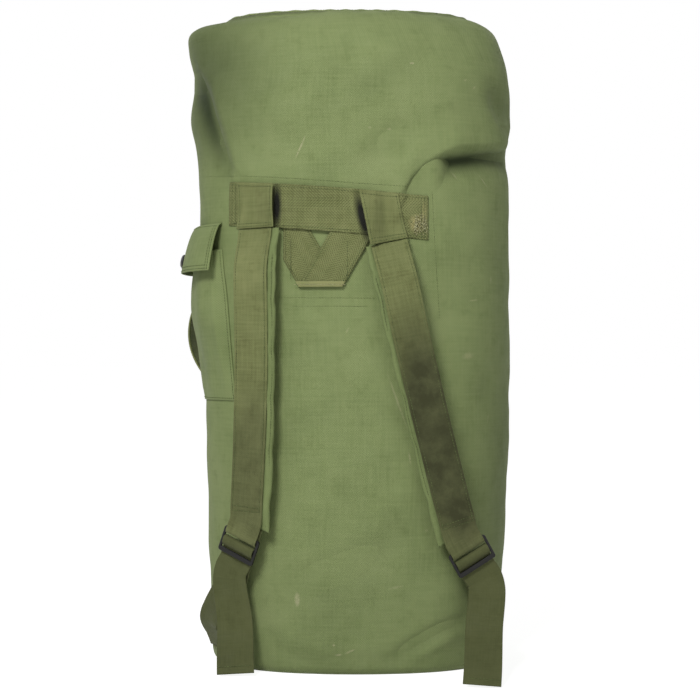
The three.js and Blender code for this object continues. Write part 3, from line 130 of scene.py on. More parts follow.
# Reinforcement, base binding and back seam
REINFORCEMENT_LEFT = -0.15
REINFORCEMENT_RIGHT = 0.095
REINFORCEMENT_TOP = 0.578
REINFORCEMENT_BOTTOM = 0.3
LINING_GAP = 0.0009
OUTLINE_LIFT = 0.0001
REINFORCEMENT_STITCHES = (
    ((-0.182, 0.592), (0.0035, 0.577)), ((0.0035, 0.577), (0.069, 0.573)),
    ((0.0645, 0.5755), (0.089, 0.578)), ((0.089, 0.578), (0.0925, 0.505)),
    ((0.0925, 0.505), (0.0985, 0.42)), ((-0.09, 0.4435), (0.02, 0.4425)),
    ((-0.073, 0.4335), (0.012, 0.433)),
)
BASE_LIFT = 0.0003
BASE_LEAST_LIFT = 0.0002
BASE_EDGE_LIFT = 0.0011
BASE_WRINKLE = 0.0006
BINDING_HEIGHT = 0.012
BINDING_THICKNESS = 0.0016
SEAM_WIDTH = 0.014
SEAM_BOTTOM = 0.016
SEAM_TOP = 0.7
SEAM_STITCH_REACH = 0.0052

# Shoulder straps
PAD_WIDTH = 0.053
PAD_THICKNESS = 0.009
PAD_HEAD_LIFT = 0.0054
PAD_COVERED_MARGIN = 0.002
PAD_STITCH_MARGIN = 0.0035
PAD_PRESSURE = 4.0
PAD_PUFF = 0.0016
STRAP_LIFT = 0.019
STRAP_LIFT_SHARE = 0.16
PAD_TAPER_SHARE = 0.07
PAD_END_SHARE = 0.4
ROLL_START_SHARE = 0.82
STRAPS = {
    "left": dict(
        side=-1, head_x=-0.115, head_height=0.524, end_x=-0.117, end_height=0.182, bow=0.004,
        roll=-0.32, facing=1, tail_shift=-0.003, tail_forward=0.016,
        knee_shift=-0.002, load_bulge=0.013, tail_level=0.06, pad_offset=0.004,
    ),
    "right": dict(
        side=1, head_x=0.038, head_height=0.507, end_x=0.112, end_height=0.168, bow=-0.002,
        roll=0.27, facing=0.55, tail_shift=0.006, tail_forward=0.082,
        knee_shift=0.007, load_bulge=0.004, tail_level=0.0, pad_offset=-0.0024,
    ),
}

# Three-bar slides
SLIDE_WIDTH = 0.051
SLIDE_TOP_BAR = 0.005
SLIDE_MIDDLE_BAR = 0.0045
SLIDE_BOTTOM_BAR = 0.0055
SLIDE_SLOT = 0.0082
SLIDE_SIDE_RAIL = 0.0032
SLIDE_THICKNESS = 0.0032
SLIDE_CORNER = 0.003
SLIDE_ROUNDING = 0.0007
HARD_ROUNDING = 0.00025
WEB_CLEARANCE = 0.0006
LOOP_EASE = 0.0009
CHAPE_LENGTH = 0.016
CHAPE_RETURN_GAP = 0.0025
SLIDE_TURN = 0.058

# Hanging tails, load webs and lower anchors
TAIL_FLOOR_GAP = 0.004
TAIL_START = 0.005
TAIL_LEAD = 0.003
TAIL_KNEE_SHARE = 0.3
TAIL_DIP_SHARES = ((1.6, 1.5), (3, 0), (4.3, -1.7))
ANCHOR_REACH = 0.186
ANCHOR_HEIGHT = 0.037
ANCHOR_TALL = 0.034
LOAD_WEB_BULGE_HEIGHT = 0.055
LOAD_WEB_FOOT = 0.024
LOAD_WEB_DROP = 0.016
LOAD_WEB_LEAD = 0.003
LOAD_WEB_GAP = 0.0009
LOAD_WEB_SET_BACK = 0.005
LOAD_WEB_TURN_SHARE = 0.55
LOAD_WEB_LAYERS = 1.5

# Side pocket and flap, measured round the bag from the middle of the left side
POCKET_FRONT_EDGE = 0.104
POCKET_BACK_EDGE = -0.088
POCKET_BOTTOM = 0.322
POCKET_TOP = 0.502
POCKET_FULLNESS = 0.0115
POCKET_FOOT_FULLNESS = 0.001
POCKET_MOUTH_LIFT = 0.0066
POCKET_SLANT = 0.014
POCKET_GUSSET = 0.016
POCKET_SLACKEN_SHARE = 0.55
POCKET_FULL_SHARE = 0.7
HEM_EASE = 0.0005
FLAP_TOP = 0.534
FLAP_LENGTH = 0.056
FLAP_LIFT = 0.022
FLAP_CURVE = 0.55
FLAP_RIPPLE = 0.0007
FLAP_STITCH_MARGINS = (0.0022, 0.006)
FLAP_STITCH_START = 0.004
POCKET_PUFF = 0.0011
POCKET_FADE = 0.03
POCKET_STITCH_MARGIN = 0.0025
HEM_STITCH_MARGIN = 0.002

# Side handle
HANDLE_PLACE = -0.124
HANDLE_MIDDLE = 0.402
HANDLE_SPAN = 0.19
HANDLE_ARCH = 0.073
HANDLE_LEAN = 0.7
HANDLE_END_WIDTH = 0.009
HANDLE_END_LIFT = 0.0042
HANDLE_PATCH_TALL = 0.034
HANDLE_PATCH_THICKNESS = 0.0039
HANDLE_THICKNESS = 0.0024
HANDLE_ARCH_SHARPNESS = 0.8
HANDLE_SEWN_SHARE = 0.02
HANDLE_SPREAD_SHARE = 0.6

# Mouth
HEM_INSET = 0.0009
HEM_WIDTH = 0.016
HEM_THICKNESS = 0.0036
HEM_DROP = 0.003
RIM_RISE = 0.0016
FOOT_SAG = 0.0022
FOOT_SAG_SHARE = 0.012
MOUTH_PART_THICKNESS = 0.003
MOUTH_PUCKER = 0.0005
MOUTH_SINK = 0.012
MOUTH_FLAT_SHARE = 0.78
MOUTH_FLOOR_SHARE = 0.36
MOUTH_GAP = 0.0016
MOUTH_CORNER_ANGLE = 0.56
SIDE_PART_TIP_SHARE = 0.21
FRONT_PART_TIP_SHARE = 0.28
BACK_PART_TIP_SHARE = 0.12
TONGUE_WIDTH = 0.04
TONGUE_THICKNESS = 0.0018
TONGUE_TIP = 0.021
TONGUE_ROOT_SHARE = 0.62
TONGUE_STEP_REACH = 0.026
TONGUE_STEP_RUN = 0.022
TONGUE_STITCH_START = 0.004
TONGUE_STITCH_MARGIN = 0.0035
GROMMET_BARREL = 0.014
GROMMET_FLANGE = 0.0006
STACK_GAP = 0.0003
STAPLE_PLATE_THICKNESS = 0.0012

# Web tab of the snap hook
HOOK_PATCH_HEIGHT = 0.724
HOOK_PATCH_TALL = 0.026
HOOK_TAB_WIDTH = 0.0254
HOOK_TAB_DROP = 0.07
HOOK_TAB_LIFT = 0.014
HOOK_TAB_SHARES = ((0, 0), (0.2, 0.1), (0.85, 0.4))
HOOK_TAB_SEWN_SHARES = (0.3, 0.22)
HOOK_TAB_SEWN_ENDS = (0.036, 0.04)
HOOK_WIRE = 0.0023

# Folds of the filled cloth on the strap side, from the photo: places across and up, how far the cloth
# stands out (+) or in (-), and how wide the fold is on its left (or lower) and right (or upper) side
SOFT_FOLDS = {
    "left_crease_ridge": (
        [(-0.19, 0.726), (-0.17, 0.703), (-0.16, 0.672), (-0.149, 0.64), (-0.141, 0.6)],
        0.0052, 0.007, 0.018,
    ),
    "left_crease_valley": (
        [(-0.196, 0.716), (-0.183, 0.69), (-0.175, 0.66), (-0.165, 0.628), (-0.152, 0.597)],
        -0.0086, 0.015, 0.0065,
    ),
    "right_fold_roll": (
        [(0.075, 0.593), (0.092, 0.614), (0.118, 0.626), (0.15, 0.63), (0.178, 0.636), (0.19, 0.646)],
        0.0088, 0.0095, 0.026,
    ),
    "right_fold_valley": (
        [(0.0615, 0.566), (0.07, 0.581), (0.086, 0.596), (0.108, 0.606), (0.145, 0.613),
         (0.176, 0.618), (0.19, 0.626)],
        -0.0115, 0.016, 0.005,
    ),
    "right_fold_ridge": (
        [(0.052, 0.585), (0.066, 0.606), (0.08, 0.622)], 0.002, 0.008, 0.009,
    ),
    "right_fold_second_valley": (
        [(0.006, 0.6), (0.03, 0.62), (0.055, 0.645)], -0.003, 0.014, 0.014,
    ),
    "right_pinch": ([(0.108, 0.597), (0.128, 0.582)], -0.0018, 0.004, 0.004),
    "upper_drag": (
        [(0.09, 0.74), (0.06, 0.715), (0.02, 0.69), (-0.01, 0.667)], -0.0034, 0.02, 0.024,
    ),
    "right_shoulder_hollow": (
        [(0.164, 0.7), (0.176, 0.67), (0.178, 0.654)], -0.006, 0.013, 0.014,
    ),
    "lower_right_valley": (
        [(0.128, 0.062), (0.1, 0.053), (0.066, 0.036), (0.04, 0.02)], -0.0052, 0.008, 0.01,
    ),
    "lower_right_ridge": (
        [(0.124, 0.046), (0.096, 0.036), (0.07, 0.022)], 0.004, 0.01, 0.008,
    ),
    "lower_left_drag": (
        [(-0.106, 0.06), (-0.09, 0.03), (-0.05, 0.014)], -0.0026, 0.009, 0.012,
    ),
    "waist_ridge": (
        [(0.07, 0.15), (0.0, 0.1), (-0.075, 0.07)], 0.003, 0.016, 0.02,
    ),
    "waist_drag": (
        [(0.07, 0.18), (0.0, 0.128), (-0.075, 0.096)], -0.0046, 0.022, 0.03,
    ),
    "hem_swag": (
        [(-0.075, 0.016), (0.01, 0.02), (0.075, 0.014)], -0.0018, 0.009, 0.009,
    ),
}
HOOK_CLEAR = dict(across=-0.0055, reach=0.02, heights=(0.56, 0.67), sink=0.0012)
SHOULDER_HOLLOW = dict(place=(-0.128, 0.742), reach=0.062, depth=0.006)

# Lumps of the filling: height, size and seed. The cloth lies flatter over the sewn area, which is given by
# its left, right, lower and upper side. Pleats are gathered below the mouth.
LUMPS = ((0.0022, 0.075, 3.1), (0.0009, 0.03, 7.7))
STIFF_AREA = (-0.165, 0.105, 0.29, 0.6)
PLEAT_DEPTH = 0.0009

# Width over which the strap side gives way to the back, and how far the two overlap
SIDE_BLEND = 0.06
SIDE_OVERLAP = 0.15

# Fold valleys this deep get the full painted shade, and broad places of painted shade: across, up, reach
# across and up, strength
FULL_CREASE_SHADE = 0.0115
BROAD_PAINTED_SHADES = (
    (-0.18, 0.72, 0.075, 0.1, 0.6), (0.185, 0.2, 0.055, 0.22, 0.32), (-0.02, 0.0, 0.2, 0.03, 0.2),
    (0.16, 0.69, 0.03, 0.045, 0.06), (-0.01, 0.07, 0.12, 0.06, 0.12),
)

# The same kinds of fold on the far side, which the photo doesn't show
BACK_FOLDS = {
    "back_upper_valley": (
        [(-0.12, 0.67), (-0.07, 0.645), (-0.02, 0.637), (0.03, 0.645)], -0.0052, 0.014, 0.008,
    ),
    "back_upper_roll": (
        [(-0.125, 0.69), (-0.07, 0.662), (-0.02, 0.654), (0.035, 0.664)], 0.0036, 0.01, 0.018,
    ),
    "back_right_drag": ([(0.16, 0.6), (0.12, 0.55), (0.07, 0.52)], -0.003, 0.012, 0.014),
    "back_low_drag": ([(-0.13, 0.12), (-0.07, 0.09), (0, 0.06)], -0.0036, 0.012, 0.01),
    "back_low_right": ([(0.14, 0.15), (0.09, 0.1), (0.06, 0.05)], -0.003, 0.011, 0.013),
}

# Facets, and the steps along webs and along the routes that they follow
BODY_SEGMENTS = 300
BODY_ROWS = 304
LINING_ROWS = 16
WEB_STEP = 0.004
FINE_STEP = 0.0025
TAIL_STEP = 0.0022
HOOK_TAB_STEP = 0.0016
TAIL_STOP_STEP = 0.011
LOAD_STOP_STEP = 0.008
TABLE_STEPS = 3000
SURFACE_STEP = 1e-3
ARC_STEPS = 40

RIGHT_SIDE = 0
BACK_SIDE = math.pi / 2
LEFT_SIDE = math.pi
STRAP_SIDE = -math.pi / 2


# The filled surface
def smooth(share):
    share = np.clip(share, 0, 1)
    return share * share * (3 - 2 * share)


def station_table():
    """Heights, half widths, half depths and leans at even steps from the base edge to the mouth."""
    rows = np.array(PROFILE_SHARES)
    spans = len(rows) - 1
    shares = np.linspace(0, 1, TABLE_STEPS + 1)
    index = np.minimum(spans - 1, np.floor(shares * spans)).astype(int)
    t = (shares * spans - index)[:, None]
    before, start, end, after = (rows[np.clip(index + k, 0, spans)] for k in (-1, 0, 1, 2))
    leave = (end - before) / 2
    arrive = (after - start) / 2
    values = (start + leave * t + (3 * (end - start) - 2 * leave - arrive) * t ** 2
              + (2 * (start - end) + leave + arrive) * t ** 3)
    return shares, values * np.array([BODY_HEIGHT, BODY_WIDTH / 2, BODY_DEPTH / 2, BODY_WIDTH / 2])


STATION_SHARES, STATIONS = station_table()


def station(share):
    """Height, half width, half depth and lean of the section at a share of the way up."""
    return [np.interp(share, STATION_SHARES, STATIONS[:, column]) for column in range(4)]


def share_at(height):
    return np.interp(height, STATIONS[:, 0], STATION_SHARES)


def section_radius(angle, half_width, half_depth):
    across = np.abs(np.cos(angle) / half_width) ** SQUARENESS
    deep = np.abs(np.sin(angle) / half_depth) ** SQUARENESS
    return (across + deep) ** (-1 / SQUARENESS)


def plain_point(angle, share):
    angle, share = np.broadcast_arrays(angle, share)
    height, half_width, half_depth, lean = station(share)
    radius = section_radius(angle, half_width, half_depth)
    return np.stack([lean + radius * np.cos(angle), radius * np.sin(angle), height], axis=-1)


def plain_normal(angle, share):
    angle, share = np.broadcast_arrays(angle, share)
    step = SURFACE_STEP
    round_bag = plain_point(angle + step, share) - plain_point(angle - step, share)
    up_bag = (plain_point(angle, np.minimum(1, share + step))
              - plain_point(angle, np.maximum(0, share - step)))
    return unit(np.cross(round_bag, up_bag))


def unit(vectors):
    vectors = np.asarray(vectors, dtype=float)
    return vectors / np.maximum(np.linalg.norm(vectors, axis=-1, keepdims=True), 1e-12)


def plain_skin(angle, share, lift=0.0):
    lift = np.asarray(lift, dtype=float)
    return plain_point(angle, share) + plain_normal(angle, share) * lift[..., None]


def fold_profile(x, z, places, low_reach, high_reach):
    """How much of one soft fold is felt at x and z, up to 1. The fold fades out at both of its ends."""
    places = np.array(places)
    best = np.full(x.shape, np.inf)
    side = np.zeros(x.shape)
    along = np.zeros(x.shape)
    lengths = np.linalg.norm(np.diff(places, axis=0), axis=1)
    total = lengths.sum()
    done = 0.0
    for start, end, length in zip(places[:-1], places[1:], lengths):
        way = (end - start) / length
        t = np.clip(((x - start[0]) * way[0] + (z - start[1]) * way[1]) / length, 0, 1)
        dx = x - (start[0] + (end[0] - start[0]) * t)
        dz = z - (start[1] + (end[1] - start[1]) * t)
        distance = np.hypot(dx, dz)
        nearer = distance < best
        best = np.where(nearer, distance, best)
        side = np.where(nearer, way[0] * dz - way[1] * dx, side)
        along = np.where(nearer, (done + t * length) / total, along)
        done += length
    reach = np.where(side > 0, high_reach, low_reach)
    ends = np.sin(np.pi * np.clip(along, 0.04, 0.96)) ** 0.45
    return np.exp(-((best / reach) ** 2)) * ends


def lumps(points, size, seed):
    """Smooth uneven swelling from -1 to 1 at the given places."""
    flat = points.reshape(-1, 3) / size + seed
    return np.array([noise.noise(Vector(p)) for p in flat]).reshape(points.shape[:-1])


def facing_shares(y):
    """How far a place belongs to the strap side and to the back, with a soft change at the sides."""
    return smooth(-y / SIDE_BLEND + SIDE_OVERLAP), smooth(y / SIDE_BLEND + SIDE_OVERLAP)


def swell(points, share):
    """How far the filled cloth stands out of its plain section, with its folds and lumps."""
    x, y, z = points[..., 0], points[..., 1], points[..., 2]
    facing, away = facing_shares(y)
    folds = np.zeros(x.shape)
    for places, height, low_reach, high_reach in SOFT_FOLDS.values():
        folds += facing * height * fold_profile(x, z, places, low_reach, high_reach)
    for places, height, low_reach, high_reach in BACK_FOLDS.values():
        folds += away * height * fold_profile(x, z, places, low_reach, high_reach)
    hollow_x, hollow_z = SHOULDER_HOLLOW["place"]
    hollow = np.hypot(x - hollow_x, z - hollow_z) / SHOULDER_HOLLOW["reach"]
    folds -= facing * SHOULDER_HOLLOW["depth"] * np.exp(-(hollow ** 2))
    left, right, low, high = STIFF_AREA
    stiff = (smooth((x - left) / 0.02) * smooth((right - x) / 0.02)
             * smooth((z - low) / 0.03) * smooth((high - z) / 0.02) * facing)
    loose = 1 - 0.75 * stiff
    soft = sum(height * lumps(points, size, seed) for height, size, seed in LUMPS)
    gather = smooth((share - 0.9) / 0.1)
    angle = np.arctan2(y, x)
    pleats = gather * PLEAT_DEPTH * np.sin(23 * angle + 2.4 * np.sin(3 * angle))
    base = smooth(z / 0.05)
    total = (folds + loose * soft * base + pleats) * smooth((1.0 - share) / 0.02 + 0.1)
    low, high = HOOK_CLEAR["heights"]
    beside = np.abs(x - HOOK_CLEAR["across"]) / HOOK_CLEAR["reach"]
    clear = away * smooth(2 - beside) * smooth((z - low) / 0.03 + 1) * smooth((high - z) / 0.03 + 1)
    return total - clear * (np.maximum(total, 0) + HOOK_CLEAR["sink"])


def painted_crease_shade(points):
    """How much painted shade the cloth gets along its fold valleys and in broad hollows, from 0 to 1."""
    x, y, z = points[..., 0], points[..., 1], points[..., 2]
    facing, away = facing_shares(y)
    shade = np.zeros(x.shape)
    for side, folds in ((facing, SOFT_FOLDS), (away, BACK_FOLDS)):
        for places, height, low_reach, high_reach in folds.values():
            if height < 0:
                depth = min(1.0, -height / FULL_CREASE_SHADE) ** 2
                shade = np.maximum(shade, side * depth * fold_profile(x, z, places, low_reach, high_reach))
    for across, up, wide, tall, strength in BROAD_PAINTED_SHADES:
        shade += facing * strength * np.exp(-(((x - across) / wide) ** 2) - ((z - up) / tall) ** 2)
    return np.clip(shade, 0, 1)


def skin(angle, share, lift=0.0):
    """A point on the dressed cloth: round the bag by angle, up it by share, and out of it by lift."""
    angle, share, lift = np.broadcast_arrays(
        np.asarray(angle, dtype=float), np.asarray(share, dtype=float), np.asarray(lift, dtype=float),
    )
    points = plain_point(angle, share)
    normal = plain_normal(angle, share)
    rise = np.zeros(points.shape)
    rise[..., 2] = RIM_RISE * smooth((share - 0.985) / 0.015)
    rise[..., 2] -= FOOT_SAG * smooth(1 - share / FOOT_SAG_SHARE)
    return points + normal * (swell(points, share) + lift)[..., None] + rise


def angle_along(start, distance, share):
    """The angle reached by going a distance round the bag at one height."""
    distance, share = np.broadcast_arrays(np.asarray(distance, dtype=float), share)
    angle = np.full(distance.shape, float(start))
    stride = distance / ARC_STEPS
    for _ in range(ARC_STEPS):
        pace = np.linalg.norm(plain_point(angle + SURFACE_STEP, share) - plain_point(angle, share), axis=-1)
        angle = angle + (stride / pace) * SURFACE_STEP
    return angle


def wrapped(start, distance, height, lift=0.0, surface=skin):
    share = share_at(height)
    return surface(angle_along(start, distance, share), share, lift)


def strap_side_angle(x, share):
    _, half_width, half_depth, lean = station(share)
    reach = np.minimum(1, np.abs((x - lean) / half_width))
    y = -half_depth * (1 - reach ** SQUARENESS) ** (1 / SQUARENESS)
    return np.arctan2(y, x - lean)


def on_strap_side(x, height, lift=0.0, surface=skin):
    share = share_at(height)
    return surface(strap_side_angle(x, share), share, lift)


# Meshes
def new_mesh(name, points, faces, uv=None, outward=True):
    """A smooth mesh piece from points and faces, whose faces point out. uv holds metres for each point."""
    mesh = bpy.data.meshes.new(name)
    mesh.from_pydata([tuple(p) for p in np.asarray(points, dtype=float)], [], [tuple(f) for f in faces])
    if outward:
        mesh.calc_loop_triangles()
        places = np.array([v.co[:] for v in mesh.vertices])
        corners = np.array([t.vertices[:] for t in mesh.loop_triangles])
        a, b, c = places[corners[:, 0]], places[corners[:, 1]], places[corners[:, 2]]
        if np.einsum("ij,ij->i", a, np.cross(b, c)).sum() < 0:
            mesh.flip_normals()
    if uv is not None:
        layer = mesh.uv_layers.new(name="cloth")
        index = np.empty(len(mesh.loops), dtype=int)
        mesh.loops.foreach_get("vertex_index", index)
        layer.uv.foreach_set("vector", np.asarray(uv, dtype=np.float32)[index].ravel())
    mesh.polygons.foreach_set("use_smooth", [True] * len(mesh.polygons))
    mesh.update()
    piece = bpy.data.objects.new(name, mesh)
    bpy.context.scene.collection.objects.link(piece)
    return piece


def grid_faces(rows, columns, offset=0, turned=False):
    faces = []
    for j in range(rows - 1):
        for i in range(columns - 1):
            a = offset + j * columns + i
            corner = (a, a + 1, a + columns + 1, a + columns)
            faces.append(corner[::-1] if turned else corner)
    return faces


def border_of(rows, columns):
    """Indices round the edge of a grid, in order."""
    edge = [(0, i) for i in range(columns - 1)]
    edge += [(j, columns - 1) for j in range(rows - 1)]
    edge += [(rows - 1, i) for i in range(columns - 1, 0, -1)]
    edge += [(j, 0) for j in range(rows - 1, 0, -1)]
    return edge


def cloth_piece(name, top, under, uv, bulge=0.35):
    """A closed sheet between two grids of points, with a rounded edge all round."""
    rows, columns = top.shape[:2]
    count = rows * columns
    edge = border_of(rows, columns)
    middle = (top + under) / 2
    thickness = np.linalg.norm(top - under, axis=-1)
    rim = []
    for j, i in edge:
        inner_j = min(max(j, 1), rows - 2)
        inner_i = min(max(i, 1), columns - 2)
        away = unit(middle[j, i] - middle[inner_j, inner_i])
        rim.append(middle[j, i] + away * thickness[j, i] * bulge)
    points = np.concatenate([top.reshape(-1, 3), under.reshape(-1, 3), np.array(rim)])
    uvs = np.concatenate([uv.reshape(-1, 2)] * 2 + [np.array([uv[j, i] for j, i in edge])])
    faces = grid_faces(rows, columns) + grid_faces(rows, columns, count, turned=True)
    around = len(edge)
    for k, (j, i) in enumerate(edge):
        next_j, next_i = edge[(k + 1) % around]
        a, b = j * columns + i, next_j * columns + next_i
        rim_a, rim_b = 2 * count + k, 2 * count + (k + 1) % around
        faces.append((b, a, rim_a, rim_b))
        faces.append((rim_b, rim_a, count + a, count + b))
    return new_mesh(name, points, faces, uvs)


def even_grid(columns, rows):
    return np.meshgrid(np.linspace(0, 1, columns), np.linspace(0, 1, rows))


def sewn_sheet(name, place, lift, thickness, columns, rows, surface=on_strap_side):
    """A sheet sewn on the bag. place turns (u, v) into the two coordinates of surface."""
    u, v = even_grid(columns, rows)
    a, b = place(u, v)
    under_lift = lift(a, b) if callable(lift) else np.full(a.shape, float(lift))
    return cloth_piece(
        name, surface(a, b, under_lift + thickness), surface(a, b, under_lift), np.stack([a, b], axis=-1),
    )


def lofted(name, rings, uv=None, capped=True, closed=False):
    """A piece through rings of points with the same count, capped at its ends or closed on itself."""
    rings = np.asarray(rings)
    count, around = rings.shape[:2]
    faces = []
    spans = count if closed else count - 1
    for j in range(spans):
        here, there = j * around, ((j + 1) % count) * around
        for i in range(around):
            k = (i + 1) % around
            faces.append((here + i, here + k, there + k, there + i))
    if capped and not closed:
        faces.append(tuple(range(around))[::-1])
        faces.append(tuple((count - 1) * around + i for i in range(around)))
    return new_mesh(name, rings.reshape(-1, 3), faces, None if uv is None else uv.reshape(-1, 2))


# Webs that follow a path
WEB_SECTION_SHARES = (
    (-1, -0.35), (-0.985, -0.85), (-0.94, -1.05), (-0.86, -0.94), (-0.5, -0.9), (0, -0.9), (0.5, -0.9),
    (0.86, -0.94), (0.94, -1.05), (0.985, -0.85), (1, -0.35), (1, 0.35), (0.985, 0.85), (0.94, 1.05),
    (0.86, 0.94), (0.5, 0.9), (0, 0.9), (-0.5, 0.9), (-0.86, 0.94), (-0.94, 1.05), (-0.985, 0.85),
    (-1, 0.35),
)


def spline(places, step):
    """Even steps along a centripetal curve through the places, and the share of the way for each."""
    places = np.asarray(places, dtype=float)
    ghost = np.vstack([2 * places[0] - places[1], places, 2 * places[-1] - places[-2]])
    fine, marks = [], []
    for k in range(1, len(ghost) - 2):
        p0, p1, p2, p3 = ghost[k - 1:k + 3]
        t0 = 0.0
        t1 = t0 + np.linalg.norm(p1 - p0) ** 0.5
        t2 = t1 + np.linalg.norm(p2 - p1) ** 0.5
        t3 = t2 + np.linalg.norm(p3 - p2) ** 0.5
        for t in np.linspace(t1, t2, 12, endpoint=False):
            a1 = (t1 - t) / (t1 - t0) * p0 + (t - t0) / (t1 - t0) * p1
            a2 = (t2 - t) / (t2 - t1) * p1 + (t - t1) / (t2 - t1) * p2
            a3 = (t3 - t) / (t3 - t2) * p2 + (t - t2) / (t3 - t2) * p3
            b1 = (t2 - t) / (t2 - t0) * a1 + (t - t0) / (t2 - t0) * a2
            b2 = (t3 - t) / (t3 - t1) * a2 + (t - t1) / (t3 - t1) * a3
            fine.append((t2 - t) / (t2 - t1) * b1 + (t - t1) / (t2 - t1) * b2)
            marks.append(k - 1 + (t - t1) / (t2 - t1))
    fine.append(places[-1])
    marks.append(len(places) - 1)
    fine = np.array(fine)
    length = np.concatenate([[0], np.cumsum(np.linalg.norm(np.diff(fine, axis=0), axis=1))])
    count = max(3, int(round(length[-1] / step)) + 1)
    even = np.linspace(0, length[-1], count)
    where = np.interp(even, length, marks)
    points = np.stack([np.interp(even, length, fine[:, axis]) for axis in range(3)], axis=-1)
    return points, where, even


def web_frames(stops, step=WEB_STEP):
    """Smooth frames through stops of (place, direction across): places, across, out and run lengths."""
    places, where, run = spline([place for place, _ in stops], step)
    across_at = np.array([across for _, across in stops], dtype=float)
    index = np.arange(len(stops))
    across = unit(np.stack([np.interp(where, index, across_at[:, axis]) for axis in range(3)], axis=-1))
    along = unit(np.gradient(places, axis=0))
    out = unit(np.cross(along, across))
    return places, unit(np.cross(out, along)), out, run


def web_piece(name, stops, width, thickness, step=WEB_STEP, wave=0.0, seed=0.0, width_at=None,
              still=(0.0, 0.0)):
    """A woven web along its stops, with thick selvedges and a slight wave across its face, except on the
    still lengths at its two ends."""
    places, across, out, run = web_frames(stops, step)
    section = np.array(WEB_SECTION_SHARES)
    half = np.full(len(run), width / 2) if width_at is None else width_at(run / run[-1]) / 2
    s = section[:, 0][None, :] * half[:, None]
    t = np.broadcast_to(section[:, 1][None, :] * thickness / 2, s.shape).copy()
    if wave:
        tall = [[noise.noise(Vector((x * 28, r * 22, seed))) for x in row] for r, row in zip(run, s)]
        ease = smooth((run - still[0]) / 0.02) * smooth((run[-1] - still[1] - run) / 0.02)
        t = t + wave * np.array(tall) * ease[:, None]
    rings = places[:, None] + across[:, None] * s[..., None] + out[:, None] * t[..., None]
    uv = np.stack([s, np.broadcast_to(run[:, None], s.shape)], axis=-1)
    return lofted(name, rings, uv), (places, across, out, run)


def sewn_across(body, frames, row, width, count=16):
    """A stitch line across the face of a web, at one row of its frames."""
    places, across, out, _ = frames
    reach = np.linspace(-1, 1, count)[:, None] * (width / 2 - STITCH_MARGIN)
    seam(body, places[row] + across[row] * reach + out[row] * (WEB_THICKNESS / 2 + STITCH_REST))


# Colours from the photo, as red, green and blue from 0 to 255
NYLON_GREEN = (127, 141, 90)
NYLON_LIGHT = (142, 154, 103)
NYLON_SHADE = (103, 117, 70)
COVER_GREEN = (115, 128, 80)
NYLON_WORN = (172, 172, 132)
WEBBING_OLIVE = (110, 117, 71)
WEBBING_LIGHT = (142, 147, 96)
WEBBING_SHADE = (78, 81, 44)
WEBBING_DARK = (60, 62, 36)
# Painted shade for the body's fold valleys and broad hollows
NYLON_CREASE_SHADE = (44, 54, 28)
# Painted shadow for the gaps beside the strap heads
DEEP_SHADE = (20, 21, 13)
WEBBING_WORN = (160, 154, 104)
TAIL_OLIVE = (78, 83, 48)
TAIL_LIGHT = (90, 94, 57)
TAIL_SHADE = (61, 65, 37)
THREAD_DARK = (74, 82, 50)
THREAD_PALE = (150, 146, 104)
THREAD_FAINT = (98, 108, 68)
PLASTIC_BLACK = (17, 17, 15)
LACQUER_BLACK = (44, 44, 46)
BRASS_DARK = (118, 106, 78)
LINING_SHADE = (96, 108, 70)
BACKDROP_WHITE = (246, 246, 246)

# Pale marks on the strap side: across, up, half length, half width, turn in degrees and strength
PALE_MARKS = (
    (-0.069, 0.089, 0.0035, 0.0085, 0, 0.8), (-0.026, 0.036, 0.0018, 0.0012, 0, 0.7),
    (-0.0205, 0.0245, 0.0046, 0.0013, 8, 0.75), (-0.007, 0.0287, 0.0068, 0.0013, 24, 0.75),
    (0.047, 0.104, 0.009, 0.0016, 12, 0.35), (-0.066, 0.618, 0.0125, 0.0012, 66, 0.7),
    (-0.062, 0.626, 0.008, 0.001, 72, 0.6), (0.0656, 0.719, 0.0032, 0.0014, 0, 0.75),
    (0.13, 0.702, 0.0024, 0.0014, 20, 0.6), (0.1406, 0.694, 0.0028, 0.0011, 50, 0.6),
    (0.016, 0.642, 0.0022, 0.0014, 0, 0.6), (0.0387, 0.641, 0.0024, 0.0014, 0, 0.7),
    (0.152, 0.584, 0.012, 0.0009, -52, 0.65), (0.116, 0.589, 0.007, 0.0011, -50, 0.5),
    (0.048, 0.323, 0.034, 0.0013, -70, 0.4), (0.063, 0.255, 0.008, 0.0012, -80, 0.5),
    (0.1395, 0.441, 0.007, 0.0012, 8, 0.6), (0.162, 0.466, 0.0012, 0.006, 0, 0.6),
    (0.133, 0.375, 0.008, 0.0045, 12, 0.42), (0.158, 0.3, 0.0012, 0.008, -8, 0.35),
    (0.083, 0.17, 0.0018, 0.0014, 0, 0.6), (-0.01, 0.405, 0.0055, 0.0011, 60, 0.4),
)

# Darker places along the straps' lower lengths, the band's worn end and painted shadow in the gaps beside the
# strap heads, in the same terms
STRAP_DARK_PLACES = (
    (0.1, 0.275, 0.16, 0.05, -76, 1.0),
    (-0.118, 0.235, 0.11, 0.05, -88, 0.55),
)
BAND_WEAR = ((0.0705, 0.53, 0.0095, 0.011, 0, 1.0), (0.08, 0.54, 0.003, 0.016, 0, 0.7))
BAND_GAP_SHADOWS = (
    (-0.093, 0.551, 0.0065, 0.03, 0, 1.0), (0.008, 0.536, 0.0075, 0.032, 14, 1.0),
)

# Widths of two threads, of herringbone columns, and of the clouds that vary the cloth
DUCK_THREADS = 0.0028
PAD_THREADS = 0.0026
LINING_THREADS = 0.0011
STRAP_THREADS = 0.0024
BAND_THREADS = 0.0034
TAIL_THREADS = 0.0017
STRAP_COLUMNS = 0.0109
BAND_COLUMNS = 0.0127
PATCH_SIZE = 0.085
REGION_SIZE = 0.05
SPOT_SIZE = 0.02
CRUMPLE_SIZE = 0.011
CRUMPLE_HEIGHT = 0.0012
RUB_SIZE = 0.0035
METAL_CLOUD_SIZE = 0.012
FINE_RELIEF = 0.0002


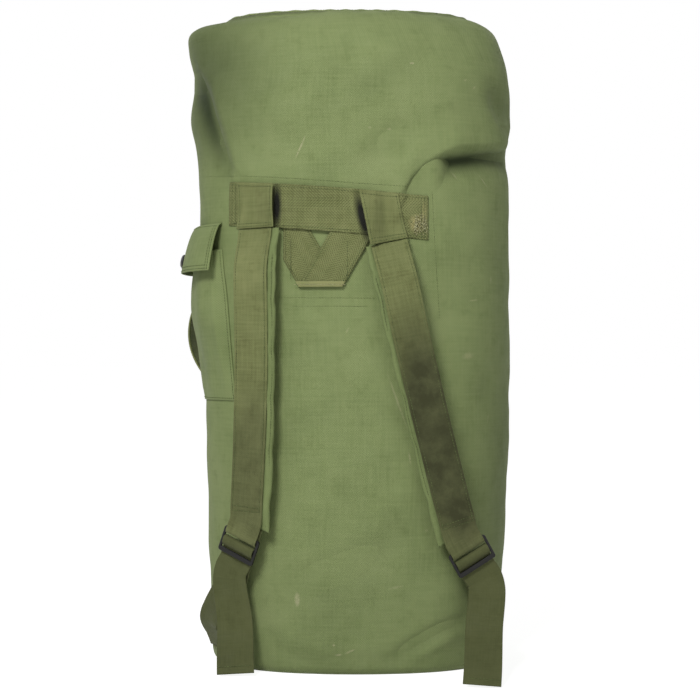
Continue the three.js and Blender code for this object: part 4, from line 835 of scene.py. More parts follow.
def linear(colour):
    """A linear colour with alpha, from red, green and blue given from 0 to 255."""
    shares = [value / 255 for value in colour]
    return tuple(
        share / 12.92 if share <= 0.04045 else ((share + 0.055) / 1.055) ** 2.4 for share in shares
    ) + (1.0,)


# Small words for building node trees
def place_value(socket, tree, value):
    if isinstance(value, bpy.types.NodeSocket):
        tree.links.new(value, socket)
    else:
        socket.default_value = value


def maths(tree, operation, first, second=0.0, clamped=False):
    sum_node = tree.nodes.new("ShaderNodeMath")
    sum_node.operation = operation
    sum_node.use_clamp = clamped
    place_value(sum_node.inputs[0], tree, first)
    place_value(sum_node.inputs[1], tree, second)
    return sum_node.outputs[0]


def mixed(tree, share, first, second, blend="MIX"):
    mix = tree.nodes.new("ShaderNodeMix")
    mix.data_type = "RGBA"
    mix.blend_type = blend
    place_value(mix.inputs[0], tree, share)
    place_value(mix.inputs[6], tree, first)
    place_value(mix.inputs[7], tree, second)
    return mix.outputs[2]


def spread(tree, value, low, high, to_low=0.0, to_high=1.0):
    scale = tree.nodes.new("ShaderNodeMapRange")
    place_value(scale.inputs[0], tree, value)
    for index, number in enumerate((low, high, to_low, to_high), start=1):
        scale.inputs[index].default_value = number
    return scale.outputs[0]


def stretched(tree, vector, amounts):
    scale = tree.nodes.new("ShaderNodeVectorMath")
    scale.operation = "MULTIPLY"
    tree.links.new(vector, scale.inputs[0])
    scale.inputs[1].default_value = amounts
    return scale.outputs[0]


def cloud(tree, vector, size, detail=3.0, rough=0.55, warp=0.0):
    texture = tree.nodes.new("ShaderNodeTexNoise")
    tree.links.new(vector, texture.inputs["Vector"])
    texture.inputs["Scale"].default_value = 1 / size
    texture.inputs["Detail"].default_value = detail
    texture.inputs["Roughness"].default_value = rough
    texture.inputs["Distortion"].default_value = warp
    return texture.outputs[0]


def raised(tree, height, strength, distance, under=None):
    bump = tree.nodes.new("ShaderNodeBump")
    bump.inputs["Strength"].default_value = strength
    bump.inputs["Distance"].default_value = distance
    tree.links.new(height, bump.inputs["Height"])
    if under is not None:
        tree.links.new(under, bump.inputs["Normal"])
    return bump.outputs[0]


def new_finish(name):
    material = bpy.data.materials.new(name)
    material.use_nodes = True
    tree = material.node_tree
    return material, tree, tree.nodes["Principled BSDF"], tree.nodes.new("ShaderNodeTexCoord")


def weave_of(tree, uv, thread, herringbone):
    """The height of a weave on metres of cloth: plain, or herringbone columns of slanting ribs."""
    parts = tree.nodes.new("ShaderNodeSeparateXYZ")
    tree.links.new(uv, parts.inputs[0])
    u, v = parts.outputs[0], parts.outputs[1]
    turn = 2 * math.pi / thread
    if not herringbone:
        warp = maths(tree, "SINE", maths(tree, "MULTIPLY", u, turn))
        weft = maths(tree, "SINE", maths(tree, "MULTIPLY", v, turn))
        return spread(tree, maths(tree, "MULTIPLY", warp, weft), -1, 1)
    zigzag = maths(tree, "PINGPONG", u, herringbone)
    slant = maths(tree, "MULTIPLY", maths(tree, "ADD", v, zigzag), turn)
    rib = spread(tree, maths(tree, "SINE", slant), -1, 1)
    pick = spread(tree, maths(tree, "SINE", maths(tree, "MULTIPLY", u, turn * 1.9)), -1, 1)
    return maths(tree, "MULTIPLY", maths(tree, "ADD", rib, pick), 0.5)


def marks_on(tree, coordinates, marks, grain=None, hard=0.55):
    """How strongly marks such as PALE_MARKS show, broken up by the grain where there is one."""
    total = None
    for across, up, half_length, half_width, degrees, strength in marks:
        spot = tree.nodes.new("ShaderNodeMapping")
        spot.vector_type = "TEXTURE"
        tree.links.new(coordinates, spot.inputs["Vector"])
        spot.inputs["Location"].default_value = (across, -0.16, up)
        spot.inputs["Rotation"].default_value = (0, math.radians(-degrees), 0)
        spot.inputs["Scale"].default_value = (half_length, 0.1, half_width)
        reach = tree.nodes.new("ShaderNodeVectorMath")
        reach.operation = "LENGTH"
        tree.links.new(spot.outputs[0], reach.inputs[0])
        mark = spread(tree, reach.outputs["Value"], 1.15, hard, 0.0, strength)
        total = mark if total is None else maths(tree, "MAXIMUM", total, mark)
    if grain is None:
        return total
    return maths(tree, "MULTIPLY", total, spread(tree, grain, 0.36, 0.52), clamped=True)


def cloth_finish(name, colours, thread, herringbone=0.0, relief=0.35, sheen=0.04, wear=0.35, marks=(),
                 blotches=0.5, roughness=0.82, weave_shading=0.3, dark_places=(), gap_shadows=(), crease_shading=False):
    """Woven cloth. colours are plain, light, shade and worn, and thread is the width of two threads."""
    plain, light, shade, worn = (linear(colour) for colour in colours)
    material, tree, shader, coordinates = new_finish(name)
    uv, place = coordinates.outputs["UV"], coordinates.outputs["Object"]
    weave = weave_of(tree, uv, thread, herringbone)
    patches = cloud(tree, place, PATCH_SIZE, 4.0, 0.62)
    spots = cloud(tree, place, SPOT_SIZE, 4.0, 0.65)
    warp = cloud(tree, stretched(tree, uv, (1.0, 0.06, 1.0)), thread * 1.1, 2.0)
    weft = cloud(tree, stretched(tree, uv, (0.06, 1.0, 1.0)), thread * 1.1, 2.0)
    colour = mixed(tree, spread(tree, patches, 0.52, 0.72, 0.0, 0.75), plain, light)
    colour = mixed(tree, spread(tree, patches, 0.5, 0.3, 0.0, 0.6), colour, shade)
    colour = mixed(tree, spread(tree, spots, 0.55, 0.75, 0.0, blotches), colour, shade)
    threads = maths(tree, "ADD", spread(tree, warp, 0.3, 0.7), spread(tree, weft, 0.3, 0.7))
    colour = mixed(tree, spread(tree, threads, 0.5, 1.5, 0.0, 0.42), colour, light)
    # Painted shade in the weave's hollows and painted highlight on its ridges
    colour = mixed(tree, spread(tree, weave, 0.45, 0.0, 0.0, weave_shading), colour, shade)
    colour = mixed(tree, spread(tree, weave, 0.6, 1.0, 0.0, weave_shading * 0.8), colour, light)
    rubbed = cloud(tree, place, RUB_SIZE, 5.0, 0.75)
    region = spread(tree, cloud(tree, place, REGION_SIZE, 2.0), 0.5, 0.66)
    scuffed = maths(tree, "MULTIPLY", spread(tree, rubbed, 0.62, 0.7, 0.0, wear), region)
    colour = mixed(tree, scuffed, colour, worn)
    if marks:
        colour = mixed(tree, marks_on(tree, place, marks, rubbed), colour, worn)
    # Painted shade along the fold valleys and broad hollows, read from the crease attribute
    if crease_shading:
        crease = tree.nodes.new("ShaderNodeAttribute")
        crease.attribute_name = "crease"
        colour = mixed(tree, crease.outputs["Fac"], colour, linear(NYLON_CREASE_SHADE))
    # Darker places along the straps' lower lengths, broken up by the spots
    if dark_places:
        uneven = spread(tree, spots, 0.3, 0.6, 0.75, 1.0)
        darkened = maths(tree, "MULTIPLY", marks_on(tree, place, dark_places, hard=0.6), uneven)
        colour = mixed(tree, darkened, colour, linear(WEBBING_DARK))
    # Painted shadow in the gaps beside the strap heads
    if gap_shadows:
        colour = mixed(tree, marks_on(tree, place, gap_shadows, hard=0.45), colour, linear(DEEP_SHADE))
    tree.links.new(colour, shader.inputs["Base Color"])
    shader.inputs["Metallic"].default_value = 0.0
    shader.inputs["Specular IOR Level"].default_value = 0.32
    shader.inputs["Sheen Weight"].default_value = sheen
    shader.inputs["Sheen Roughness"].default_value = 0.45
    rough = spread(tree, spots, 0.3, 0.7, roughness - 0.08, roughness + 0.1)
    tree.links.new(rough, shader.inputs["Roughness"])
    crumple = cloud(tree, place, CRUMPLE_SIZE, 3.0, 0.5)
    soft = raised(tree, crumple, 0.22, CRUMPLE_HEIGHT)
    tree.links.new(raised(tree, weave, relief, thread * 0.22, soft), shader.inputs["Normal"])
    return material


def hard_finish(name, colour, metallic, roughness, edge_colour, grain=0.002, relief=0.12, coat=0.0,
                patina=0.35, gloss=0.5):
    """Moulded plastic, lacquer or tarnished metal."""
    material, tree, shader, coordinates = new_finish(name)
    place = coordinates.outputs["Object"]
    fine = cloud(tree, place, grain, 4.0, 0.6)
    broad = cloud(tree, place, METAL_CLOUD_SIZE, 3.0)
    tone = mixed(tree, spread(tree, broad, 0.42, 0.7, 0.0, patina), linear(colour), linear(edge_colour))
    tone = mixed(tree, spread(tree, fine, 0.64, 0.74, 0.0, 0.55), tone, linear(edge_colour))
    tree.links.new(tone, shader.inputs["Base Color"])
    shader.inputs["Metallic"].default_value = metallic
    shader.inputs["Coat Weight"].default_value = coat
    shader.inputs["Specular IOR Level"].default_value = gloss
    rough = spread(tree, fine, 0.3, 0.7, roughness - 0.07, roughness + 0.1)
    tree.links.new(rough, shader.inputs["Roughness"])
    tree.links.new(raised(tree, fine, relief, FINE_RELIEF), shader.inputs["Normal"])
    return material


def thread_finish(name, colour, light):
    """Sewing thread: a fine bump for its twist, with a little fuzz of tone."""
    material, tree, shader, coordinates = new_finish(name)
    place = coordinates.outputs["Object"]
    faded = spread(tree, cloud(tree, place, 0.004, 2.0), 0.35, 0.65)
    tone = mixed(tree, faded, linear(colour), linear(light))
    tree.links.new(tone, shader.inputs["Base Color"])
    shader.inputs["Roughness"].default_value = 0.75
    shader.inputs["Specular IOR Level"].default_value = 0.3
    twist = cloud(tree, place, 0.0006, 1.0)
    tree.links.new(raised(tree, twist, 0.5, FINE_RELIEF), shader.inputs["Normal"])
    return material


def colours_of(*names):
    """Colours set in the sidebar, as 0 to 255."""
    settings = bpy.context.scene.bag_colours
    return tuple(tuple(round(share * 255) for share in getattr(settings, name)) for name in names)


FINISHES = {}


def finish_of(name):
    """The named finish, made when it is first asked for."""
    if name in FINISHES:
        return FINISHES[name]
    nylon, webbing, tail, plastic, brass = colours_of("nylon", "webbing", "tail", "plastic", "brass")
    makers = {
        "nylon_duck": lambda: cloth_finish(
            name, (nylon, NYLON_LIGHT, NYLON_SHADE, NYLON_WORN), DUCK_THREADS, marks=PALE_MARKS,
            weave_shading=0.45, crease_shading=True),
        "nylon_cover": lambda: cloth_finish(
            name, (nylon, NYLON_LIGHT, NYLON_SHADE, NYLON_WORN), DUCK_THREADS, wear=0.25, weave_shading=0.45),
        "pad_cover": lambda: cloth_finish(
            name, (COVER_GREEN, nylon, NYLON_SHADE, NYLON_WORN), PAD_THREADS, wear=0.2, weave_shading=0.4),
        "nylon_lining": lambda: cloth_finish(
            name, (LINING_SHADE, nylon, NYLON_SHADE, NYLON_WORN), LINING_THREADS, wear=0.1),
        "strap_webbing": lambda: cloth_finish(
            name, (webbing, WEBBING_LIGHT, WEBBING_SHADE, WEBBING_WORN), STRAP_THREADS, STRAP_COLUMNS, 0.6,
            wear=0.25, blotches=0.75, weave_shading=0.5, dark_places=STRAP_DARK_PLACES),
        "band_webbing": lambda: cloth_finish(
            name, (webbing, WEBBING_LIGHT, WEBBING_SHADE, WEBBING_WORN), BAND_THREADS, BAND_COLUMNS, 0.9,
            wear=0.4, blotches=0.45, weave_shading=0.9, marks=BAND_WEAR, gap_shadows=BAND_GAP_SHADOWS),
        "worn_webbing": lambda: cloth_finish(
            name, (WEBBING_LIGHT, WEBBING_WORN, webbing, WEBBING_WORN), STRAP_THREADS, 0.0, 0.6, wear=0.6,
            blotches=0.3, weave_shading=0.5),
        "tail_webbing": lambda: cloth_finish(
            name, (tail, TAIL_LIGHT, TAIL_SHADE, WEBBING_LIGHT), TAIL_THREADS, STRAP_COLUMNS, 0.4, wear=0.15,
            blotches=0.4),
        "moulded_plastic": lambda: hard_finish(
            name, plastic, 0.0, 0.4, (36, 35, 32), patina=0.2, gloss=0.28),
        "black_lacquer": lambda: hard_finish(name, LACQUER_BLACK, 0.35, 0.38, (96, 90, 80), coat=0.2),
        "dark_brass": lambda: hard_finish(name, brass, 0.9, 0.4, (74, 66, 50), patina=0.55),
        "green_thread": lambda: thread_finish(name, THREAD_DARK, NYLON_SHADE),
        "pale_thread": lambda: thread_finish(name, THREAD_PALE, NYLON_WORN),
        "faint_thread": lambda: thread_finish(name, THREAD_FAINT, NYLON_GREEN),
    }
    FINISHES[name] = makers[name]()
    return FINISHES[name]


def settle(piece, body, finish, *nodes):
    """Gives a piece its finish, the body it rides on and the nodes it stands for."""
    piece.data.materials.clear()
    piece.data.materials.append(finish_of(finish))
    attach(piece, body)
    if nodes:
        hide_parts(*nodes)
    return piece


# Stitches wait here until the sewing is done: for each body and thread, the paths that they follow.
SEAMS = {}


def seam(body, path, thread="green_thread"):
    SEAMS.setdefault((body, thread), []).append(np.asarray(path, dtype=float))


def sewn_line(body, surface, ends, lift, thread="green_thread", steps=40):
    """A straight stitch line between two places of a surface, given in its two coordinates."""
    (a0, b0), (a1, b1) = ends
    share = np.linspace(0, 1, steps)
    a, b = a0 + (a1 - a0) * share, b0 + (b1 - b0) * share
    height = lift(a, b) if callable(lift) else np.full(a.shape, float(lift))
    seam(body, surface(a, b, height), thread)


def on_left_side(distance, height, lift=0.0):
    return wrapped(LEFT_SIDE, distance, height, lift)


def on_back_side(distance, height, lift=0.0):
    return wrapped(BACK_SIDE, distance, height, lift)


def on_front_corners(distance, height, lift=0.0):
    return wrapped(STRAP_SIDE, distance, height, lift)


def sewn_box(surface, middle, size, lift):
    """A stitched box with a cross in it on the bag, just inside a patch of the given middle and size.
    A negative height is sewn from its upper side down."""
    half_wide = size[0] / 2 - STITCH_MARGIN
    half_tall = size[1] / 2 - math.copysign(STITCH_MARGIN, size[1])
    turns = ((-1, -1), (1, -1), (1, 1), (-1, 1))
    box = [(middle[0] + a * half_wide, middle[1] + b * half_tall) for a, b in turns]
    for ends in list(zip(box, box[1:] + box[:1])) + [(box[0], box[2]), (box[1], box[3])]:
        sewn_line("bag", surface, ends, lift)


# Body
def level_ring(angles, radius, lean, height):
    """A level ring of points whose radius may differ from angle to angle."""
    return np.stack([lean + radius * np.cos(angles), radius * np.sin(angles),
                     np.full(angles.shape, float(height))], axis=-1)


def spaced(places, lengths, weights, count):
    """Places at even steps of weighted length, and the plain length reached at each."""
    weighted = np.concatenate([[0], np.cumsum(lengths * weights)])
    plain = np.concatenate([[0], np.cumsum(lengths)])
    steps = np.linspace(0, weighted[-1], count)
    return np.interp(steps, weighted, places), np.interp(steps, weighted, plain)


def body_columns():
    """Angles round the bag from the back seam, closer together on the strap side, and their girths."""
    fine = np.linspace(BACK_SIDE, BACK_SIDE + 2 * math.pi, TABLE_STEPS + 1)
    ring = plain_point(fine, 0.5)
    middle = (ring[1:] + ring[:-1]) / 2
    weights = 1 + 1.1 * facing_shares(middle[:, 1])[0]
    lengths = np.linalg.norm(np.diff(ring, axis=0), axis=1)
    angles, girth = spaced(fine, lengths, weights, BODY_SEGMENTS + 1)
    return angles[:-1], girth[:-1]


def body_rows():
    """Shares up the bag, closer together where the great folds are."""
    line = plain_point(STRAP_SIDE + 0.6, STATION_SHARES)
    middle = (line[1:, 2] + line[:-1, 2]) / 2
    weights = 1 + 1.4 * np.exp(-(((middle - 0.625) / 0.06) ** 2))
    lengths = np.linalg.norm(np.diff(line, axis=0), axis=1)
    return spaced(STATION_SHARES, lengths, weights, BODY_ROWS + 1)[0]


def make_body():
    angles, girth = body_columns()
    shares = body_rows()
    angle, share = np.meshgrid(angles, shares)
    outer = skin(angle, share)
    rim = skin(angles, 1.0, -WALL)[None]
    foot = skin(angles, 0.0, -WALL)[None]
    inner_shares = np.linspace(1, 0, LINING_ROWS)
    inner_angle, inner_share = np.meshgrid(angles, inner_shares)
    inner = plain_skin(inner_angle, inner_share, -WALL) + (skin(inner_angle, inner_share)
                                                           - plain_point(inner_angle, inner_share))
    inner[0], inner[-1] = rim[0], foot[0]
    rings = np.concatenate([outer, inner])
    run = np.concatenate([outer[:, :, 2], inner[:, :, 2]])
    uv = np.stack([np.broadcast_to(girth, rings.shape[:2]), run], axis=-1)
    body = lofted("bag_shell", rings, uv, capped=False, closed=True)
    # The crease attribute holds painted shade for the body's fold valleys and broad hollows
    shade = body.data.attributes.new("crease", "FLOAT", "POINT")
    shade.data.foreach_set("value", painted_crease_shade(rings).ravel().astype(np.float32))
    settle(body, "bag", "nylon_duck", "body_shell")

    base_share = np.zeros(1)
    _, half_width, half_depth, lean = station(base_share)
    radius = section_radius(angles, half_width, half_depth)

    def ring(share_out, height):
        return level_ring(angles, radius * share_out, lean, height)

    wrinkle = BASE_WRINKLE * np.sin(11 * angles)[:, None] * np.array([0, 0, 1.0])
    panel = [ring(0.02, BASE_EDGE_LIFT)]
    panel += [ring(s, BASE_LIFT) + wrinkle * s for s in (0.3, 0.6, 0.85, 0.96)]
    panel += [ring(1.0, BASE_EDGE_LIFT)] + [ring(s, BASE_PANEL_THICKNESS) for s in (0.96, 0.6, 0.3)]
    panel += [ring(0.02, BASE_PANEL_THICKNESS)]
    panel = np.array(panel)
    panel[..., 2] = np.maximum(panel[..., 2], BASE_LEAST_LIFT)
    piece = lofted("base_cloth", panel, panel[..., :2], capped=True)
    settle(piece, "bag", "nylon_cover", "base_panel")

    low = BASE_PANEL_THICKNESS + CLEARANCE
    margins = WALL + CLEARANCE
    corners = ((margins, low), (margins, low + BINDING_HEIGHT),
               (margins + BINDING_THICKNESS, low + BINDING_HEIGHT), (margins + BINDING_THICKNESS, low))
    band = [level_ring(angles, radius - margin, lean, height) for margin, height in corners]
    band = np.swapaxes(np.array(band), 0, 1)
    uv = np.stack([np.broadcast_to(angles[:, None] * 0.17, band.shape[:2]), band[..., 2]], axis=-1)
    piece = lofted("base_seam_tape", band, uv, closed=True, capped=False)
    settle(piece, "bag", "tail_webbing", "base_binding")


def make_seams_and_lining():
    def seam_place(u, v):
        return (u - 0.5) * SEAM_WIDTH, SEAM_BOTTOM + v * (SEAM_TOP - SEAM_BOTTOM)

    piece = sewn_sheet("felled_back_seam", seam_place, CLEARANCE, CLOTH_THICKNESS, 7, 190, on_back_side)
    settle(piece, "bag", "nylon_cover", "back_seam")
    for across in (-SEAM_STITCH_REACH, SEAM_STITCH_REACH):
        sewn_line("bag", on_back_side, ((across, SEAM_BOTTOM), (across, SEAM_TOP)),
                  CLOTH_THICKNESS + STITCH_LIFT, steps=160)

    def lining_place(u, v):
        return (REINFORCEMENT_LEFT + u * (REINFORCEMENT_RIGHT - REINFORCEMENT_LEFT),
                REINFORCEMENT_BOTTOM + v * (REINFORCEMENT_TOP - REINFORCEMENT_BOTTOM))

    piece = sewn_sheet("inner_reinforcement", lining_place, -WALL - LINING_GAP - CLOTH_THICKNESS,
                       CLOTH_THICKNESS, 40, 40)
    settle(piece, "bag", "nylon_lining", "back_reinforcement")
    for ends in REINFORCEMENT_STITCHES:
        sewn_line("bag", on_strap_side, ends, OUTLINE_LIFT, "faint_thread")


# Yoke
YOKE_RUN = 1 / math.tan(YOKE_WEB_SLOPE)
YOKE_SPREAD = STRAP_WEB_WIDTH / math.sin(YOKE_WEB_SLOPE)
YOKE_LAYER = WEB_THICKNESS + CLEARANCE


def band_height(x):
    share = (x - BAND_LEFT_END) / (BAND_RIGHT_END - BAND_LEFT_END)
    return BAND_LEFT_HEIGHT + share * (BAND_RIGHT_HEIGHT - BAND_LEFT_HEIGHT)


def band_lift(x, _height=None):
    left = YOKE_MIDDLE - YOKE_TRIM - STRAP_GAP
    right = YOKE_MIDDLE + YOKE_REACH + STRAP_GAP
    rise = smooth((x - left + YOKE_RAMP) / YOKE_RAMP)
    fall = smooth((right + YOKE_RAMP - x) / YOKE_RAMP)
    return CLEARANCE + 2 * YOKE_LAYER * np.minimum(rise, fall)


def yoke_edges(side, height):
    inner = (height - YOKE_NOTCH_HEIGHT) * YOKE_RUN
    return inner, np.minimum(inner + YOKE_SPREAD, YOKE_TRIM if side < 0 else YOKE_REACH)


def make_yoke():
    for name, side, level in (("left", -1, 0), ("right", 1, 1)):
        def place(u, v, side=side):
            height = YOKE_FOOT_HEIGHT + v * (YOKE_HEAD_HEIGHT - YOKE_FOOT_HEIGHT)
            inner, outer = yoke_edges(side, height)
            return YOKE_MIDDLE + side * (inner + u * (outer - inner)), height

        lift = CLEARANCE + level * YOKE_LAYER
        piece = sewn_sheet(f"yoke_web_{name}_cloth", place, lift, WEB_THICKNESS, 26, 44)
        slanted_weave(piece, side)
        settle(piece, "bag", "band_webbing", f"yoke_web_{name}")
        top = lift + WEB_THICKNESS + STITCH_REST
        low, high = YOKE_FOOT_HEIGHT + STITCH_MARGIN, YOKE_HEAD_HEIGHT - YOKE_HEAD_MARGIN
        heights = np.linspace(low, high, 50)
        inner, outer = yoke_edges(side, heights)
        for edge, margin in ((inner, YOKE_STITCH_MARGIN), (outer, -YOKE_STITCH_MARGIN)):
            reach = edge + margin
            seam("bag", on_strap_side(YOKE_MIDDLE + side * reach, heights, top))
    for across in YOKE_UPRIGHT_STITCHES:
        sewn_line("bag", on_strap_side,
                  ((YOKE_MIDDLE + across, YOKE_UPRIGHT_FOOT), (YOKE_MIDDLE + across, YOKE_UPRIGHT_HEAD)),
                  YOKE_UPRIGHT_LIFT)

    def hem_place(u, v):
        height = YOKE_FOOT_HEIGHT - YOKE_HEM_DROP + v * YOKE_HEM_TALL
        _, outer = yoke_edges(1, height)
        return YOKE_MIDDLE - outer + u * 2 * outer, height

    piece = sewn_sheet("yoke_foot_hem", hem_place, CLEARANCE + 2 * YOKE_LAYER, YOKE_HEM_THICKNESS, 40, 8)
    turn_weave(piece)
    settle(piece, "bag", "worn_webbing")
    sewn_line("bag", on_strap_side, YOKE_HEM_STITCHES, YOKE_HEM_STITCH_LIFT, "pale_thread")

    def band_place(u, v):
        x = BAND_LEFT_END + u * (BAND_RIGHT_END - BAND_LEFT_END)
        return x, band_height(x) + (v - 0.5) * BAND_WIDTH

    piece = sewn_sheet("yoke_band_cloth", band_place, band_lift, WEB_THICKNESS, 110, 22)
    turn_weave(piece)
    settle(piece, "bag", "band_webbing", "yoke_band")

    def above_band(a, _b):
        return band_lift(a) + WEB_THICKNESS + STITCH_REST

    def line(start, end, share_start, share_end):
        ends = tuple((x, band_height(x) + (share - 0.5) * BAND_WIDTH)
                     for x, share in ((start, share_start), (end, share_end)))
        sewn_line("bag", on_strap_side, ends, above_band)

    left, right = BAND_LEFT_END + BAND_STITCH_MARGIN, BAND_RIGHT_END - BAND_STITCH_MARGIN
    line(left, right, 0.05, 0.05)
    line(left, right, 0.95, 0.95)
    for x in (left, right, right - BAND_STITCH_MARGIN, left + BAND_STITCH_MARGIN):
        line(x, x, 0.05, 0.95)
    frayed_end()


def frayed_end():
    """Loose pale threads where the band's right end has worn."""
    threads = []
    for _ in range(STRAND_COUNT):
        spot = noise.random_unit_vector()
        x = BAND_RIGHT_END - 0.009 + 0.0065 * spot.x
        height = band_height(x) - 0.002 - 0.009 * abs(spot.y) + 0.006 * spot.z
        start = on_strap_side(np.array(x), np.array(height), 0.0026)
        end = on_strap_side(np.array(x + 0.0045 * spot.y), np.array(height - 0.0075 + 0.003 * spot.x), 0.0033)
        middle = (start + end) / 2 + np.array([0.0012 * spot.z, -0.0014, 0.0008])
        threads.append(np.array([start, middle, end]))
    SEAMS.setdefault(("bag", "pale_thread"), []).extend(threads)


def change_weave(piece, changed):
    """Lays the weave anew: changed turns its two directions into new ones."""
    layer = piece.data.uv_layers["cloth"].uv
    values = np.empty(len(layer) * 2, dtype=np.float32)
    layer.foreach_get("vector", values)
    u, v = values.reshape(-1, 2).T
    layer.foreach_set("vector", np.stack(changed(u, v), axis=-1).ravel().astype(np.float32))


def turn_weave(piece):
    """Runs the weave along the piece instead of up it."""
    change_weave(piece, lambda u, v: (v, u))


def slanted_weave(piece, side):
    """Turns the weave to run along a slanting web."""
    turn = side * (math.pi / 2 - YOKE_WEB_SLOPE)
    cos, sin = math.cos(turn), math.sin(turn)
    change_weave(piece, lambda u, v: (u * cos - v * sin, u * sin + v * cos))


# Straps
def strap_foot(strap, v):
    x = strap["head_x"] + (strap["end_x"] - strap["head_x"]) * v + strap["bow"] * np.sin(np.pi * v)
    return x, strap["head_height"] + (strap["end_height"] - strap["head_height"]) * v


def turned_about(vector, axis, angle):
    """Vectors turned about unit axes by angles."""
    cos, sin = np.cos(angle)[..., None], np.sin(angle)[..., None]
    dot = np.sum(axis * vector, axis=-1, keepdims=True)
    return vector * cos + np.cross(axis, vector) * sin + axis * dot * (1 - cos)


def strap_frames(strap, v):
    """Place in the pad, direction down the strap, across it and out, at shares v of its length."""
    v = np.asarray(v, dtype=float)
    lift = PAD_HEAD_LIFT + (STRAP_LIFT - PAD_HEAD_LIFT) * smooth(v / STRAP_LIFT_SHARE)

    def at(t):
        return on_strap_side(*strap_foot(strap, t), surface=plain_skin)

    x, height = strap_foot(strap, v)
    share = share_at(height)
    angle = strap_side_angle(x, share)
    normal = plain_normal(angle, share)
    down = unit(at(v + SURFACE_STEP) - at(v - SURFACE_STEP))
    turn = (1 + (strap["facing"] - 1) * v)[..., None]
    faced = unit(np.array([0.0, -1.0, 0.0]) * (1 - turn) + normal * turn)
    across = unit(np.cross(faced, down))
    out = unit(np.cross(down, across))
    roll = strap["roll"] * smooth((v - ROLL_START_SHARE) / (1 - ROLL_START_SHARE))
    across, down = turned_about(across, out, roll), turned_about(down, out, roll)
    return plain_skin(angle, share, lift), down, across, out


SLIDE_HEIGHT = SLIDE_TOP_BAR + SLIDE_MIDDLE_BAR + SLIDE_BOTTOM_BAR + 2 * SLIDE_SLOT
SLIDE_TOP = SLIDE_HEIGHT / 2
TOP_BAR_FOOT = SLIDE_TOP - SLIDE_TOP_BAR
MIDDLE_BAR_HEAD = TOP_BAR_FOOT - SLIDE_SLOT
MIDDLE_BAR_FOOT = MIDDLE_BAR_HEAD - SLIDE_MIDDLE_BAR
BOTTOM_BAR_HEAD = MIDDLE_BAR_FOOT - SLIDE_SLOT
WEB_LAYER = SLIDE_THICKNESS / 2 + WEB_CLEARANCE + WEB_THICKNESS / 2
LOAD_LAYER = WEB_LAYER + WEB_THICKNESS + WEB_CLEARANCE
TURN_REACH = WEB_CLEARANCE + WEB_THICKNESS / 2
LOOP_FOOT = TOP_BAR_FOOT - TURN_REACH - LOOP_EASE


class SlideFrame:
    """The place and directions of one slide, and points in its own frame."""

    def __init__(self, strap):
        place, down, across, out = (value[0] for value in strap_frames(strap, [1.0]))
        web = place + out * (PAD_THICKNESS / 2 + CLEARANCE + WEB_THICKNESS / 2)
        self.middle = web + down * (CHAPE_LENGTH + SLIDE_TOP) - out * WEB_LAYER
        self.down, self.across, self.out = down, across, out

    def at(self, up, outward):
        return self.middle - self.down * up + self.out * outward


def make_pad(name, strap, body):
    """The foam pad in its nylon cover: crowned, and pinched at its ends."""
    rows = 150
    v = np.linspace(0, 1, rows + 1)
    places, _, across, out = strap_frames(strap, v)
    places = places + across * strap["pad_offset"]
    head = PAD_END_SHARE + (1 - PAD_END_SHARE) * smooth(v / PAD_TAPER_SHARE)
    foot = 1 - 0.5 * smooth((v - 0.95) / 0.05)
    angles = np.linspace(0, 2 * math.pi, 48, endpoint=False)
    s = np.sign(np.cos(angles)) * np.abs(np.cos(angles)) ** 0.55
    t = np.sign(np.sin(angles)) * np.abs(np.sin(angles)) ** 0.7
    waist = 1 - 0.05 * (0.5 + 0.5 * np.sin(v * 37 + strap["side"])) ** 3
    width = PAD_WIDTH / 2 * waist[:, None] * s[None, :]
    swelling = np.array([[noise.noise(Vector((a * 2.1, r * 26, 4.0 * strap["side"]))) for a in s] for r in v])
    from_web = np.abs(s * PAD_WIDTH / 2 + strap["pad_offset"])
    covered = (t > 0) & (from_web < STRAP_WEB_WIDTH / 2 + PAD_COVERED_MARGIN)
    swelling = np.where(covered, np.minimum(swelling, 0), swelling)
    tall = PAD_THICKNESS / 2 * (head * foot)[:, None] * t[None, :] * (1 + 0.16 * swelling)
    rings = places[:, None] + across[:, None] * width[..., None] + out[:, None] * tall[..., None]
    length = np.concatenate([[0], np.cumsum(np.linalg.norm(np.diff(places, axis=0), axis=1))])
    uv = np.stack([width, np.broadcast_to(length[:, None], width.shape)], axis=-1)
    piece = lofted(f"{name}_pad_cover", rings, uv)
    soften(piece, PAD_PRESSURE, PAD_PUFF, np.repeat(out, 48, axis=0), np.tile(covered, rows + 1))
    settle(piece, body, "pad_cover", f"{name}_strap_pad")
    for side in (-1, 1):
        edge = places + across * (side * (PAD_WIDTH / 2 - PAD_STITCH_MARGIN) * waist[:, None]) \
            + out * (PAD_THICKNESS / 2 * 0.75 * head * foot)[:, None]
        seam(body, edge[3:-2])


